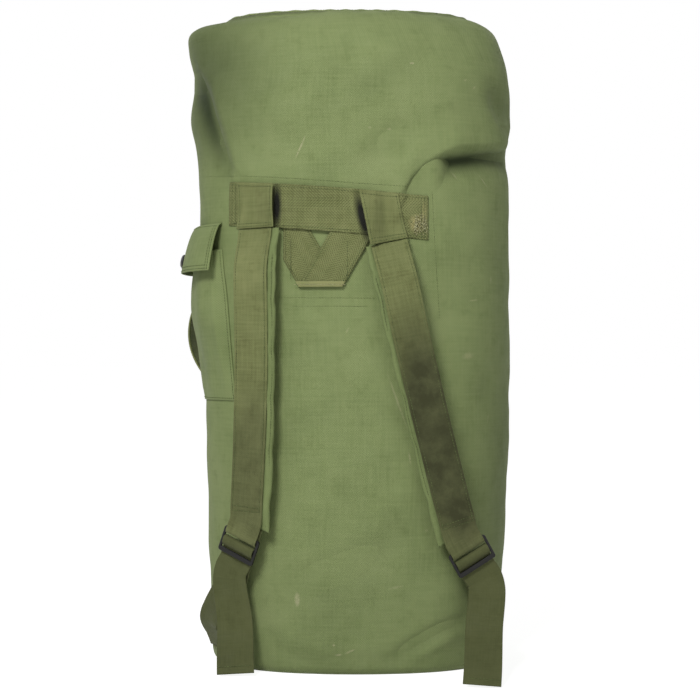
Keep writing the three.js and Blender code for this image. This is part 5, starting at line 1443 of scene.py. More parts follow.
def soften(piece, pressure, cap, out, covered):
    """Blows the cover up a little as cloth, so that it wrinkles. No point moves further than the cap, and
    the covered points, which lie under a web, don't rise along out."""
    scene = bpy.context.scene
    mesh = piece.data
    before = np.empty(len(mesh.vertices) * 3)
    mesh.vertices.foreach_get("co", before)
    modifier = piece.modifiers.new("filling", "CLOTH")
    cloth = modifier.settings
    cloth.quality = 5
    cloth.mass = 0.3
    cloth.tension_stiffness = 25
    cloth.compression_stiffness = 25
    cloth.shear_stiffness = 8
    cloth.bending_stiffness = 0.6
    cloth.shrink_min = -0.05
    cloth.use_pressure = True
    cloth.uniform_pressure_force = pressure
    cloth.effector_weights.gravity = 0
    modifier.collision_settings.use_collision = False
    modifier.point_cache.frame_start = 1
    modifier.point_cache.frame_end = 20
    for number in range(1, 21):
        scene.frame_set(number)
    evaluated = piece.evaluated_get(bpy.context.evaluated_depsgraph_get())
    after = np.empty_like(before)
    evaluated.data.vertices.foreach_get("co", after)
    piece.modifiers.remove(modifier)
    scene.frame_set(1)
    move = (after - before).reshape(-1, 3)
    reach = np.linalg.norm(move, axis=1, keepdims=True)
    move *= np.minimum(1, cap / np.maximum(reach, 1e-9))
    rise = np.maximum(0, np.sum(move * out, axis=1)) * covered
    move -= out * rise[:, None]
    mesh.vertices.foreach_set("co", before + move.ravel())
    mesh.update()


def web_over_pad(head):
    return head * PAD_THICKNESS / 2 + CLEARANCE + WEB_THICKNESS / 2


def make_strap(name):
    strap = STRAPS[name]
    body = f"{name}_strap"
    make_pad(name, strap, body)
    v = np.linspace(0, 1, 25)
    places, _, across, out = strap_frames(strap, v)
    head = PAD_END_SHARE + (1 - PAD_END_SHARE) * smooth(v / PAD_TAPER_SHARE)
    on_pad = places + out * web_over_pad(head)[:, None]
    slide = SlideFrame(strap)
    loop = [
        (SLIDE_TOP, WEB_LAYER), (LOOP_FOOT + 2 * TURN_REACH, WEB_LAYER),
        (LOOP_FOOT + TURN_REACH / 2, WEB_LAYER - TURN_REACH / 2), (LOOP_FOOT, TURN_REACH / 2),
        (LOOP_FOOT, -TURN_REACH / 2), (LOOP_FOOT + TURN_REACH / 2, TURN_REACH / 2 - WEB_LAYER),
        (LOOP_FOOT + 2 * TURN_REACH, -WEB_LAYER),
        (SLIDE_TOP + CHAPE_LENGTH - CHAPE_RETURN_GAP, -WEB_LAYER),
    ]
    stops = list(zip(on_pad, across)) + [(slide.at(*where), slide.across) for where in loop]
    piece, frames = web_piece(f"{name}_strap_webbing", stops, STRAP_WEB_WIDTH, WEB_THICKNESS, FINE_STEP,
                              wave=STRAP_WAVE, seed=5.0 * strap["side"], still=(0.0, SLIDE_TURN))
    settle(piece, body, "strap_webbing", f"{name}_strap_web")
    places, across, out, run = frames
    sewn = run < run[-1] - STRAP_SEWN_ENDS[0]
    face = WEB_THICKNESS / 2 + STITCH_REST
    for side in (-1, 1):
        edge = places + across * side * (STRAP_WEB_WIDTH / 2 - STRAP_STITCH_MARGIN) + out * face
        seam(body, edge[sewn][2:])
    for back in STRAP_SEWN_ENDS:
        sewn_across(body, frames, int(np.searchsorted(run, run[-1] - back)), STRAP_WEB_WIDTH)
    make_head(name, strap)
    make_slide(name, slide)
    make_tail(name, strap, slide)
    make_load_web(name, strap, slide)


def make_head(name, strap):
    head_top = strap["head_height"] + SEWN_GAP
    taper_x, taper_height = strap_foot(strap, PAD_TAPER_SHARE)
    slope = (taper_x - strap["head_x"]) / (taper_height - strap["head_height"])

    def place(u, v):
        across = (u - 0.5) * STRAP_WEB_WIDTH
        top = band_height(strap["head_x"] + across) + BAND_WIDTH / 2
        foot = head_top - slope * across
        height = foot + v * (top - foot)
        return strap["head_x"] + across + slope * (height - strap["head_height"]), height

    def lift_of(x, u, v):
        inner = u if strap["side"] < 0 else 1 - u
        edge = smooth((inner - 0.4) / 0.6) * (0.6 + 0.4 * np.sin(np.pi * v))
        return band_lift(x) + YOKE_LAYER + CLEARANCE + HEAD_RAISE * edge \
            + HEAD_FOOT_RAISE * smooth(1 - 3 * v) * (1 - edge)

    u, v = even_grid(34, 36)
    lift = lift_of(place(u, v)[0], u, v)
    piece = sewn_sheet(f"{name}_strap_head_webbing", place, lambda a, b: lift, WEB_THICKNESS, 34, 36)
    settle(piece, "bag", "strap_webbing", f"{name}_strap_head")

    def line(start, end):
        share = np.linspace(0, 1, 30)
        u = start[0] + (end[0] - start[0]) * share
        v = start[1] + (end[1] - start[1]) * share
        a, b = place(u, v)
        seam("bag", on_strap_side(a, b, lift_of(a, u, v) + WEB_THICKNESS + STITCH_REST))

    for v in (0.04, 0.1, 0.93):
        line((0.06, v), (0.94, v))
    for u in (0.06, 0.94):
        line((u, 0.1), (u, 0.93))


def make_slide(name, slide):
    """A moulded three-bar slide with rounded bars."""
    half, top = SLIDE_WIDTH / 2, SLIDE_HEIGHT / 2
    inside = half - SLIDE_SIDE_RAIL
    levels = [-top, -top + SLIDE_BOTTOM_BAR, MIDDLE_BAR_FOOT, MIDDLE_BAR_HEAD, TOP_BAR_FOOT, top]
    columns = [-half, -inside, inside, half]
    mesh = bmesh.new()
    layers = []
    for depth in (-SLIDE_THICKNESS / 2, SLIDE_THICKNESS / 2):
        layers.append([[mesh.verts.new((x, z, depth)) for x in columns] for z in levels])
    solid = {(row, column) for row in (0, 2, 4) for column in range(3)}
    solid |= {(row, column) for row in (1, 3) for column in (0, 2)}
    for row, column in solid:
        for level, turned in ((0, True), (1, False)):
            net = layers[level]
            corner = [net[row][column], net[row][column + 1], net[row + 1][column + 1], net[row + 1][column]]
            mesh.faces.new(corner[::-1] if turned else corner)
        for (dr, dc), (a, b) in (((-1, 0), ((0, 0), (0, 1))), ((1, 0), ((1, 1), (1, 0))),
                                 ((0, -1), ((1, 0), (0, 0))), ((0, 1), ((0, 1), (1, 1)))):
            if (row + dr, column + dc) in solid:
                continue
            (ar, ac), (br, bc) = a, b
            mesh.faces.new([layers[0][row + ar][column + ac], layers[0][row + br][column + bc],
                            layers[1][row + br][column + bc], layers[1][row + ar][column + ac]])
    bmesh.ops.recalc_face_normals(mesh, faces=mesh.faces)
    corners = [edge for edge in mesh.edges
               if all(abs(abs(v.co.x) - half) < 1e-6 and abs(abs(v.co.y) - top) < 1e-6 for v in edge.verts)]
    bmesh.ops.bevel(mesh, geom=corners, offset=SLIDE_CORNER, segments=5, profile=0.5, affect="EDGES")
    data = bpy.data.meshes.new(f"{name}_slide_frame")
    mesh.to_mesh(data)
    mesh.free()
    turn = np.array([slide.across, -slide.down, slide.out]).T
    for vertex in data.vertices:
        vertex.co = Vector(turn @ np.array(vertex.co[:]) + slide.middle)
    piece = bpy.data.objects.new(f"{name}_slide_frame", data)
    bpy.context.scene.collection.objects.link(piece)
    bevel = piece.modifiers.new("rounded_bars", "BEVEL")
    bevel.width = SLIDE_ROUNDING
    bevel.segments = 4
    bevel.limit_method = "ANGLE"
    bevel.angle_limit = math.radians(40)
    freeze(piece)
    settle(piece, f"{name}_slide", "moulded_plastic", f"{name}_slide")


def freeze(piece):
    """Applies the piece's modifiers to a plain smooth mesh."""
    evaluated = piece.evaluated_get(bpy.context.evaluated_depsgraph_get())
    mesh = bpy.data.meshes.new_from_object(evaluated)
    piece.modifiers.clear()
    piece.data = mesh
    mesh.polygons.foreach_set("use_smooth", [True] * len(mesh.polygons))
    return piece


def make_tail(name, strap, slide):
    turn = [
        (-SLIDE_TOP - TAIL_START, -LOAD_LAYER), (MIDDLE_BAR_FOOT, -LOAD_LAYER),
        (MIDDLE_BAR_HEAD - TURN_REACH, -LOAD_LAYER),
        (MIDDLE_BAR_HEAD + TURN_REACH / 2, -LOAD_LAYER + TURN_REACH),
        (MIDDLE_BAR_HEAD + TURN_REACH, -TURN_REACH), (MIDDLE_BAR_HEAD + TURN_REACH, TURN_REACH / 2),
        (MIDDLE_BAR_HEAD + TURN_REACH / 4, WEB_LAYER - TURN_REACH / 8),
        (MIDDLE_BAR_HEAD - TURN_REACH, WEB_LAYER), (MIDDLE_BAR_FOOT, WEB_LAYER),
    ]
    turn += [(MIDDLE_BAR_FOOT - TURN_REACH * down, TURN_REACH * outward) for down, outward in TAIL_DIP_SHARES]
    turn += [(BOTTOM_BAR_HEAD + TURN_REACH / 2, -WEB_LAYER), (-SLIDE_TOP - TAIL_START, -WEB_LAYER)]
    start = slide.at(-SLIDE_TOP - TAIL_START, -WEB_LAYER)
    foot = slide.middle + np.array([strap["tail_shift"], -strap["tail_forward"], 0.0])
    foot[2] = TAIL_FLOOR_GAP
    lead = start + slide.down * LOAD_WEB_DROP + slide.out * TAIL_LEAD
    level = unit(slide.across * np.array([1.0, strap["tail_level"], 0.0]))
    knee = np.array([foot[0] + strap["knee_shift"], lead[1] - strap["tail_forward"] * TAIL_KNEE_SHARE,
                     (lead[2] + foot[2]) / 2])
    shin = foot + (knee - foot) * np.array([0.4, 0.35, 0.3])
    hanging, where, _ = spline([start, lead, knee, shin, foot], TAIL_STOP_STEP)
    share = smooth(where / 4)[:, None]
    across = unit(slide.across * (1 - share) + level * share)
    stops = [(slide.at(*place), slide.across) for place in turn] + list(zip(hanging[1:], across[1:]))
    piece, frames = web_piece(f"{name}_tail_webbing", stops, STRAP_WEB_WIDTH, WEB_THICKNESS, TAIL_STEP,
                              wave=TAIL_WAVE, seed=11.0 * strap["side"], still=(SLIDE_TURN, 0.0))
    settle(piece, f"{name}_slide", "tail_webbing", f"{name}_tail_web")
    sewn_across(f"{name}_slide", frames, len(frames[0]) - 5, STRAP_WEB_WIDTH)


def make_load_web(name, strap, slide):
    reach = strap["side"] * ANCHOR_REACH
    over_tab = LOAD_WEB_LAYERS * WEB_THICKNESS + 3 * CLEARANCE
    start = slide.at(-SLIDE_TOP - TAIL_START - LOAD_WEB_GAP, -LOAD_LAYER)

    def at(height, lift):
        return wrapped(STRAP_SIDE, np.array(reach), np.array(height), lift, surface=plain_skin)

    anchored = ((LOAD_WEB_BULGE_HEIGHT, over_tab + strap["load_bulge"]),
                (ANCHOR_HEIGHT, over_tab + strap["load_bulge"] * 0.35), (LOAD_WEB_FOOT, over_tab))
    places = [start + slide.down * LOAD_WEB_LEAD,
              start + slide.down * LOAD_WEB_DROP - slide.out * LOAD_WEB_SET_BACK]
    places += [at(height, lift) for height, lift in anchored]
    ahead = wrapped(STRAP_SIDE, np.array(reach + STRAP_GAP), np.array(ANCHOR_HEIGHT), over_tab,
                    surface=plain_skin)
    along = unit(ahead - at(ANCHOR_HEIGHT, over_tab))
    path, where, _ = spline(places, LOAD_STOP_STEP)
    share = smooth(where / (len(places) - 1) / LOAD_WEB_TURN_SHARE)[:, None]
    across = unit(slide.across * (1 - share) + along * share)
    stops = [(start, slide.across)] + list(zip(path, across))
    piece, _ = web_piece(f"{name}_load_webbing", stops, STRAP_WEB_WIDTH, WEB_THICKNESS, TAIL_STEP,
                         wave=LOAD_WAVE, seed=23.0 * strap["side"])
    piece.data.materials.append(finish_of("tail_webbing"))
    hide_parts(f"{name}_load_web")
    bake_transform(piece)

    def place(u, v):
        return reach + (u - 0.5) * BAND_WIDTH, ANCHOR_HEIGHT + (v - 0.5) * ANCHOR_TALL

    tab = sewn_sheet(f"{name}_anchor_tab", place, CLEARANCE, WEB_THICKNESS, 30, 20, on_front_corners)
    turn_weave(tab)
    settle(tab, "bag", "band_webbing", f"{name}_lower_anchor")
    sewn_box(on_front_corners, (reach, ANCHOR_HEIGHT), (BAND_WIDTH, ANCHOR_TALL), WEB_THICKNESS + STITCH_LIFT)


# Side pocket, flap and snap
POCKET_WIDE = POCKET_FRONT_EDGE - POCKET_BACK_EDGE
POCKET_TALL = POCKET_TOP - POCKET_BOTTOM


def pocket_edge(height):
    return POCKET_FRONT_EDGE + POCKET_SLANT * (POCKET_TOP - height) / POCKET_TALL


def pocket_lift(distance, height):
    from_side = np.minimum(pocket_edge(height) - distance, distance - POCKET_BACK_EDGE)
    from_foot = height - POCKET_BOTTOM
    filled = smooth(from_side / POCKET_GUSSET) * smooth(from_foot / POCKET_GUSSET)
    risen = smooth(from_foot / POCKET_TALL / POCKET_FULL_SHARE)
    full = POCKET_FOOT_FULLNESS + (POCKET_FULLNESS - POCKET_FOOT_FULLNESS) * risen
    slack = smooth((from_foot / POCKET_TALL - POCKET_SLACKEN_SHARE) / (1 - POCKET_SLACKEN_SHARE))
    return CLEARANCE + filled * (full + slack * (POCKET_MOUTH_LIFT - full))


def flap_lift(below):
    return CLEARANCE + FLAP_LIFT * np.clip(below / FLAP_LENGTH, 0, 1) ** FLAP_CURVE


def make_pocket():
    def panel(u, v):
        height = POCKET_BOTTOM + v * POCKET_TALL
        return POCKET_BACK_EDGE + u * (pocket_edge(height) - POCKET_BACK_EDGE), height

    def fold_lift(distance, height):
        puff = POCKET_PUFF * np.sin(distance * 95 + 1.3) * smooth((height - POCKET_BOTTOM) / POCKET_FADE)
        return pocket_lift(distance, height) + puff * smooth((POCKET_TOP - 0.02 - height) / POCKET_FADE) \
            * smooth((POCKET_FRONT_EDGE - distance) / POCKET_FADE) \
            * smooth((distance - POCKET_BACK_EDGE) / POCKET_FADE)

    piece = sewn_sheet("pocket_cloth", panel, fold_lift, CLOTH_THICKNESS, 110, 100, on_left_side)
    settle(piece, "bag", "nylon_cover", "pocket_panel")
    margin, tall = POCKET_WIDE / 20, POCKET_TALL / 10

    def hem(u, v):
        return (POCKET_BACK_EDGE + margin + u * (POCKET_WIDE - 2 * margin), POCKET_TOP - (1 - v) * tall)

    def hem_lift(distance, height):
        return pocket_lift(distance, height) + CLOTH_THICKNESS + HEM_EASE

    piece = sewn_sheet("pocket_mouth_hem", hem, hem_lift, CLOTH_THICKNESS, 100, 14, on_left_side)
    settle(piece, "bag", "nylon_cover", "pocket_hem")
    face = CLOTH_THICKNESS + STITCH_REST
    sewn_line("bag", on_left_side,
              ((POCKET_BACK_EDGE + margin + HEM_STITCH_MARGIN, POCKET_TOP - tall + HEM_STITCH_MARGIN),
               (POCKET_FRONT_EDGE - margin - HEM_STITCH_MARGIN, POCKET_TOP - tall + HEM_STITCH_MARGIN)),
              lambda a, b: hem_lift(a, b) + face, steps=80)
    inset = POCKET_STITCH_MARGIN
    front_foot = pocket_edge(POCKET_BOTTOM) - inset
    back, foot, top = POCKET_BACK_EDGE + inset, POCKET_BOTTOM + inset, POCKET_TOP - STITCH_MARGIN
    corners = ((POCKET_FRONT_EDGE - inset, top), (front_foot, foot), (back, foot), (back, top))
    for ends in zip(corners[:-1], corners[1:]):
        sewn_line("bag", on_left_side, ends, lambda a, b: pocket_lift(a, b) + face, steps=80)

    def flap(u, v):
        return POCKET_BACK_EDGE + u * POCKET_WIDE, FLAP_TOP - v * FLAP_LENGTH

    def flap_under(distance, height):
        ripple = FLAP_RIPPLE * np.sin(distance * 60 + 0.7) * ((FLAP_TOP - height) / FLAP_LENGTH) ** 2
        return flap_lift(FLAP_TOP - height) + np.abs(ripple)

    def on_plain_side(distance, height, lift=0.0):
        return wrapped(LEFT_SIDE, distance, height, lift, surface=plain_skin)

    piece = sewn_sheet("pocket_flap_cloth", flap, flap_under, FLAP_THICKNESS, 110, 40, on_plain_side)
    settle(piece, "pocket_flap", "nylon_cover", "pocket_flap")
    top = FLAP_THICKNESS + STITCH_REST

    def flap_line(*ends):
        sewn_line("pocket_flap", on_plain_side, ends, lambda a, b: flap_under(a, b) + top, steps=80)

    left, right = POCKET_BACK_EDGE, POCKET_FRONT_EDGE
    start = FLAP_TOP - FLAP_STITCH_START
    for gap in FLAP_STITCH_MARGINS:
        end = FLAP_TOP - FLAP_LENGTH + gap
        flap_line((left + gap, start), (left + gap, end))
        flap_line((right - gap, start), (right - gap, end))
        flap_line((left + gap, end), (right - gap, end))
    head = FLAP_TOP - STITCH_MARGIN
    flap_line((left + STITCH_MARGIN, head), (right - STITCH_MARGIN, head))
    for name, body, finish in (("flap_snap_cap", "pocket_flap", "black_lacquer"),
                               ("flap_snap_socket", "pocket_flap", "dark_brass"),
                               ("pocket_snap_stud", "bag", "dark_brass")):
        smooth_copy(name, body, finish)


def smooth_copy(node, body, finish, crease=35.0):
    """A finer copy of a hard solid: merged, its flat sides kept crisp and its round ones smoothed."""
    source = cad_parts[node]
    mesh = source.data.copy()
    mesh.name = f"{node}_fine"
    mesh.transform(source.matrix_world)
    work = bmesh.new()
    work.from_mesh(mesh)
    bmesh.ops.remove_doubles(work, verts=work.verts, dist=1e-6)
    bmesh.ops.dissolve_limit(work, angle_limit=math.radians(1.0), verts=work.verts, edges=work.edges)
    bmesh.ops.recalc_face_normals(work, faces=work.faces)
    work.to_mesh(mesh)
    work.free()
    piece = bpy.data.objects.new(f"{node}_fine", mesh)
    bpy.context.scene.collection.objects.link(piece)
    bevel = piece.modifiers.new("soft_edges", "BEVEL")
    bevel.width = HARD_ROUNDING
    bevel.segments = 2
    bevel.limit_method = "ANGLE"
    bevel.angle_limit = math.radians(crease)
    freeze(piece)
    for layer in list(piece.data.uv_layers):
        piece.data.uv_layers.remove(layer)
    settle(piece, body, finish, node)
    return piece


# Side handle
def make_handle():
    half = HANDLE_SPAN / 2
    root = wrapped(LEFT_SIDE, np.array(HANDLE_PLACE), np.array(HANDLE_MIDDLE), 0.0, surface=plain_skin)
    ahead = wrapped(LEFT_SIDE, np.array(HANDLE_PLACE), np.array(HANDLE_MIDDLE), 0.001, surface=plain_skin)
    outward = unit((ahead - root) * np.array([1.0, 1.0, 0.0]))
    upright = np.array([0.0, 0.0, 1.0])
    reach = turned_about(outward, upright, np.array(HANDLE_LEAN))
    along = unit(np.cross(upright, outward))
    shares = [0.0] + [HANDLE_SEWN_SHARE + k / 20 * (1 - 2 * HANDLE_SEWN_SHARE) for k in range(21)] + [1.0]
    stops, arches = [], []
    for share in shares:
        free = min(1.0, max(0.0, (share - HANDLE_SEWN_SHARE) / (1 - 2 * HANDLE_SEWN_SHARE)))
        arch = math.sin(math.pi * free) ** HANDLE_ARCH_SHARPNESS if 0 < free < 1 else 0.0
        height = HANDLE_MIDDLE + half - share * HANDLE_SPAN
        base = wrapped(LEFT_SIDE, np.array(HANDLE_PLACE), np.array(height), HANDLE_END_LIFT,
                       surface=plain_skin)
        across = turned_about(along, upright, np.array(HANDLE_LEAN * arch))
        stops.append((base + reach * HANDLE_ARCH * arch, across))
        arches.append(arch)
    _, where, _ = spline([place for place, _ in stops], FINE_STEP)

    def width_at(_share):
        arch = np.interp(where, np.arange(len(arches)), arches)
        return HANDLE_END_WIDTH + (STRAP_WEB_WIDTH - HANDLE_END_WIDTH) * smooth(arch / HANDLE_SPREAD_SHARE)

    piece, frames = web_piece("side_handle_webbing", stops, STRAP_WEB_WIDTH, HANDLE_THICKNESS, FINE_STEP,
                              wave=HANDLE_WAVE, seed=31.0, width_at=width_at)
    settle(piece, "side_handle", "strap_webbing", "side_handle")
    places, across, out, _ = frames
    wide = width_at(None)
    keep = slice(8, -8)
    for side in (-1, 1):
        edge = places + across * (side * (wide / 2 - STITCH_MARGIN))[:, None]
        seam("side_handle", (edge - out * (HANDLE_THICKNESS / 2 + STITCH_REST))[keep])
    for name, side in (("upper", 1), ("lower", -1)):
        foot = HANDLE_MIDDLE + side * (half + SEWN_GAP)

        def place(u, v, foot=foot, side=side):
            return HANDLE_PLACE + (u - 0.5) * BAND_WIDTH, foot + side * v * HANDLE_PATCH_TALL

        patch = sewn_sheet(f"handle_patch_{name}_webbing", place, CLEARANCE, HANDLE_PATCH_THICKNESS, 26, 20,
                           on_left_side)
        settle(patch, "bag", "band_webbing", f"handle_patch_{name}")
        sewn_box(on_left_side, (HANDLE_PLACE, foot + side * HANDLE_PATCH_TALL / 2),
                 (BAND_WIDTH, side * HANDLE_PATCH_TALL), HANDLE_PATCH_THICKNESS + STITCH_LIFT)


# Mouth
RIM_HEIGHT, RIM_HALF_WIDTH, RIM_HALF_DEPTH, RIM_LEAN = (float(value) for value in station(1.0))
HEM_TOP = RIM_HEIGHT + HEM_THICKNESS - HEM_DROP


def mouth_floor(reach):
    slope = np.clip((MOUTH_FLAT_SHARE - reach) / (MOUTH_FLAT_SHARE - MOUTH_FLOOR_SHARE), 0, 1)
    return HEM_TOP + CLEARANCE - MOUTH_SINK * slope


def rim_radius(angle, margin=0.0):
    return section_radius(angle, RIM_HALF_WIDTH - margin, RIM_HALF_DEPTH - margin)


def mouth_point(angle, reach, lift):
    angle, reach, lift = np.broadcast_arrays(angle, reach, np.asarray(lift, dtype=float))
    radius = rim_radius(angle, WALL) * reach
    return np.stack([RIM_LEAN + radius * np.cos(angle), radius * np.sin(angle), mouth_floor(reach) + lift],
                    axis=-1)


def grommet_foot(level):
    grommet_thickness = 2 * (GROMMET_FLANGE + CLEARANCE) + TONGUE_THICKNESS
    plate_foot = MOUTH_PART_THICKNESS + CLEARANCE + TONGUE_THICKNESS + CLEARANCE
    return plate_foot + STAPLE_PLATE_THICKNESS + CLEARANCE + level * (grommet_thickness + STACK_GAP)


def make_mouth():
    angles = np.linspace(0, 2 * math.pi, BODY_SEGMENTS, endpoint=False)
    section = ((0.0, -0.4), (0.04, 0.32), (0.16, 0.48), (0.5, 0.5), (0.84, 0.48), (0.96, 0.32), (1.0, -0.4),
               (0.5, -0.5))
    rings = []
    for inward, up in section:
        radius = rim_radius(angles) - HEM_INSET - inward * HEM_WIDTH
        height = HEM_TOP - HEM_THICKNESS / 2 + up * HEM_THICKNESS
        rings.append(level_ring(angles, radius, RIM_LEAN, height))
    rings = np.swapaxes(np.array(rings), 0, 1)
    uv = np.stack([np.broadcast_to(angles[:, None] * 0.13, rings.shape[:2]),
                   np.broadcast_to(np.array(section)[:, 0][None] * HEM_WIDTH, rings.shape[:2])], axis=-1)
    piece = lofted("mouth_hem_cloth", rings, uv, capped=False, closed=True)
    settle(piece, "bag", "nylon_cover", "mouth_hem")
    wide = math.pi / 2 - MOUTH_CORNER_ANGLE
    parts = (("back", BACK_SIDE, wide, BACK_PART_TIP_SHARE),
             ("front", STRAP_SIDE, wide, FRONT_PART_TIP_SHARE),
             ("left", LEFT_SIDE, MOUTH_CORNER_ANGLE, SIDE_PART_TIP_SHARE),
             ("right", RIGHT_SIDE, MOUTH_CORNER_ANGLE, SIDE_PART_TIP_SHARE))
    for order, (name, middle, half, tip) in enumerate(parts):
        body = f"mouth_{name}"
        u, v = even_grid(50, 40)
        reach = 1 + (tip - 1) * v
        edge = mouth_point(middle + half, reach, 0.0)
        trim = MOUTH_GAP / 2 / np.hypot(edge[..., 0] - RIM_LEAN, edge[..., 1])
        angle = middle + (2 * u - 1) * (half - trim)
        side = smooth((1 - np.abs(2 * u - 1)) / 0.2)
        pucker = MOUTH_PUCKER * np.sin(angle * 31 + order) * side
        top = mouth_point(angle, reach, MOUTH_PART_THICKNESS + pucker - MOUTH_PUCKER)
        under = mouth_point(angle, reach, 0.0)
        uv = np.stack([angle * 0.12, reach * 0.12], axis=-1)
        piece = cloth_piece(f"mouth_part_{name}_cloth", top, under, uv, bulge=0.15)
        settle(piece, body, "nylon_cover", f"mouth_part_{name}")
        share = np.linspace(-0.9, 0.9, 60)
        seam(body, mouth_point(middle + share * half, 0.93, MOUTH_PART_THICKNESS + STITCH_REST))
        make_tongue(name, middle, order)
    for node, body in (("grommet_front", "mouth_front"), ("grommet_left", "mouth_left"),
                       ("grommet_right", "mouth_right")):
        smooth_copy(node, body, "dark_brass", crease=30.0)
    smooth_copy("staple_plate", "mouth_back", "dark_brass")
    smooth_copy("staple", "mouth_back", "dark_brass", crease=75.0)


def make_tongue(name, middle, order):
    """A webbing tongue that steps up over the tongues below it, with a grommet hole where it has one."""
    outward = np.array([math.cos(middle), math.sin(middle)])
    sideways = np.array([-math.sin(middle), math.cos(middle)])
    root = float(rim_radius(np.array(middle))) * TONGUE_ROOT_SHARE
    rest = MOUTH_PART_THICKNESS + CLEARANCE
    step = rest if order == 0 else grommet_foot(order - 1) + GROMMET_FLANGE + CLEARANCE

    def height_of(plan):
        offset = plan - np.array([RIM_LEAN, 0.0])
        radius = rim_radius(np.arctan2(offset[..., 1], offset[..., 0]), WALL)
        along = offset @ outward
        rise = smooth((TONGUE_STEP_REACH + TONGUE_STEP_RUN - along) / TONGUE_STEP_RUN)
        base = mouth_floor(np.linalg.norm(offset, axis=-1) / radius)
        return base + rest + (step - rest) * rise

    def plan_of(along, across):
        return (np.array([RIM_LEAN, 0.0]) + outward * along[..., None] + sideways * across[..., None])

    half = TONGUE_WIDTH / 2
    if order == 0:
        u, v = even_grid(24, 60)
        along = root - v * (root + TONGUE_TIP)
        plan = plan_of(along, (u - 0.5) * TONGUE_WIDTH)
        height = height_of(plan)
        under = np.concatenate([plan, height[..., None]], axis=-1)
        uv = np.stack([(u - 0.5) * TONGUE_WIDTH, along], axis=-1)
        piece = cloth_piece(f"tongue_{name}_webbing", under + np.array([0, 0, TONGUE_THICKNESS]), under, uv)
    else:
        bore = GROMMET_BARREL + CLEARANCE
        count = 72
        rings = []
        for blend in np.linspace(0, 1, 22):
            ring = []
            for k in range(count):
                angle = 2 * math.pi * k / count
                near = np.array([math.cos(angle), math.sin(angle)]) * bore
                scale = 1 / max(abs(math.cos(angle)), abs(math.sin(angle)))
                far_x = math.cos(angle) * scale
                far = np.array([(root - TONGUE_TIP) / 2 + far_x * (root + TONGUE_TIP) / 2,
                                math.sin(angle) * scale * half])
                ring.append(near * (1 - blend) + far * blend)
            rings.append(ring)
        flat = np.array(rings)
        plan = plan_of(flat[..., 0], flat[..., 1])
        height = height_of(plan)
        under = np.concatenate([plan, height[..., None]], axis=-1)
        top = under + np.array([0, 0, TONGUE_THICKNESS])
        away = np.zeros_like(under[-1])
        away[:, :2] = unit(plan[-1] - plan[-2]) * TONGUE_THICKNESS * 0.3
        lip = (under[-1] + top[-1]) / 2 + away
        stack = np.concatenate([under, lip[None], top[::-1]])
        uv = np.concatenate([flat, flat[-1][None], flat[::-1]])[..., ::-1]
        piece = lofted(f"tongue_{name}_webbing", stack, uv, capped=False, closed=True)
    settle(piece, f"mouth_{name}", "strap_webbing", f"tongue_{name}")

    def line(points):
        points = np.array(points)
        plan = plan_of(points[:, 0], points[:, 1])
        lift = height_of(plan)[:, None] + TONGUE_THICKNESS + STITCH_REST
        seam(f"mouth_{name}", np.concatenate([plan, lift], axis=-1))

    near, far = TONGUE_STEP_REACH + TONGUE_STEP_RUN + TONGUE_STITCH_START, root - STITCH_MARGIN
    inner = half - TONGUE_STITCH_MARGIN
    for ends in (((near, -inner), (far, -inner)), ((near, inner), (far, inner)),
                 ((far, -inner), (far, inner)), ((near, -inner), (near, inner))):
        (a0, b0), (a1, b1) = ends
        line([(a0 + (a1 - a0) * t, b0 + (b1 - b0) * t) for t in np.linspace(0, 1, 20)])


# Snap hook on its web tab
def make_hook():
    def patch(u, v):
        return (u - 0.5) * HOOK_TAB_WIDTH, HOOK_PATCH_HEIGHT + (v - 0.5) * HOOK_PATCH_TALL

    piece = sewn_sheet("hook_patch_webbing", patch, CLEARANCE, WEB_THICKNESS, 16, 16, on_back_side)
    settle(piece, "bag", "strap_webbing", "hook_tab_patch")
    sewn_box(on_back_side, (0, HOOK_PATCH_HEIGHT), (HOOK_TAB_WIDTH, HOOK_PATCH_TALL),
             WEB_THICKNESS + STITCH_LIFT)
    foot = HOOK_PATCH_HEIGHT - HOOK_PATCH_TALL / 2 - STRAP_GAP
    top = wrapped(BACK_SIDE, np.array(0.0), np.array(foot), CLEARANCE + WEB_THICKNESS / 2, surface=plain_skin)
    bar_y, bar_z = top[1] + HOOK_TAB_LIFT, top[2] - HOOK_TAB_DROP
    ring = HOOK_WIRE + WEB_CLEARANCE + WEB_THICKNESS / 2
    front, back = HOOK_TAB_SEWN_SHARES
    diagonal = ring * math.sqrt(0.5)
    places = [(top[1] + HOOK_TAB_LIFT * out, top[2] - HOOK_TAB_DROP * down) for out, down in HOOK_TAB_SHARES]
    places += [(bar_y + ring, bar_z + HOOK_TAB_DROP * front), (bar_y + ring, bar_z),
               (bar_y + diagonal, bar_z - diagonal), (bar_y, bar_z - ring),
               (bar_y - diagonal, bar_z - diagonal), (bar_y - ring, bar_z),
               (bar_y - ring, bar_z + HOOK_TAB_DROP * back)]
    across = np.array([-1.0, 0.0, 0.0])
    stops = [(np.array([top[0], y, z]), across) for y, z in places]
    piece, frames = web_piece("hook_tab_webbing", stops, HOOK_TAB_WIDTH, WEB_THICKNESS, HOOK_TAB_STEP,
                              wave=HOOK_TAB_WAVE, seed=41.0)
    settle(piece, "hook_tab", "strap_webbing", "hook_tab")
    run = frames[-1]
    for back in HOOK_TAB_SEWN_ENDS:
        sewn_across("hook_tab", frames, int(np.searchsorted(run, run[-1] - back)), HOOK_TAB_WIDTH, count=12)
    smooth_copy("hook_eye", "hook_eye", "black_lacquer", crease=75.0)
    smooth_copy("snap_hook", "snap_hook", "black_lacquer", crease=75.0)
    smooth_copy("hook_gate", "hook_gate", "black_lacquer", crease=75.0)
    smooth_copy("gate_pin", "snap_hook", "dark_brass")


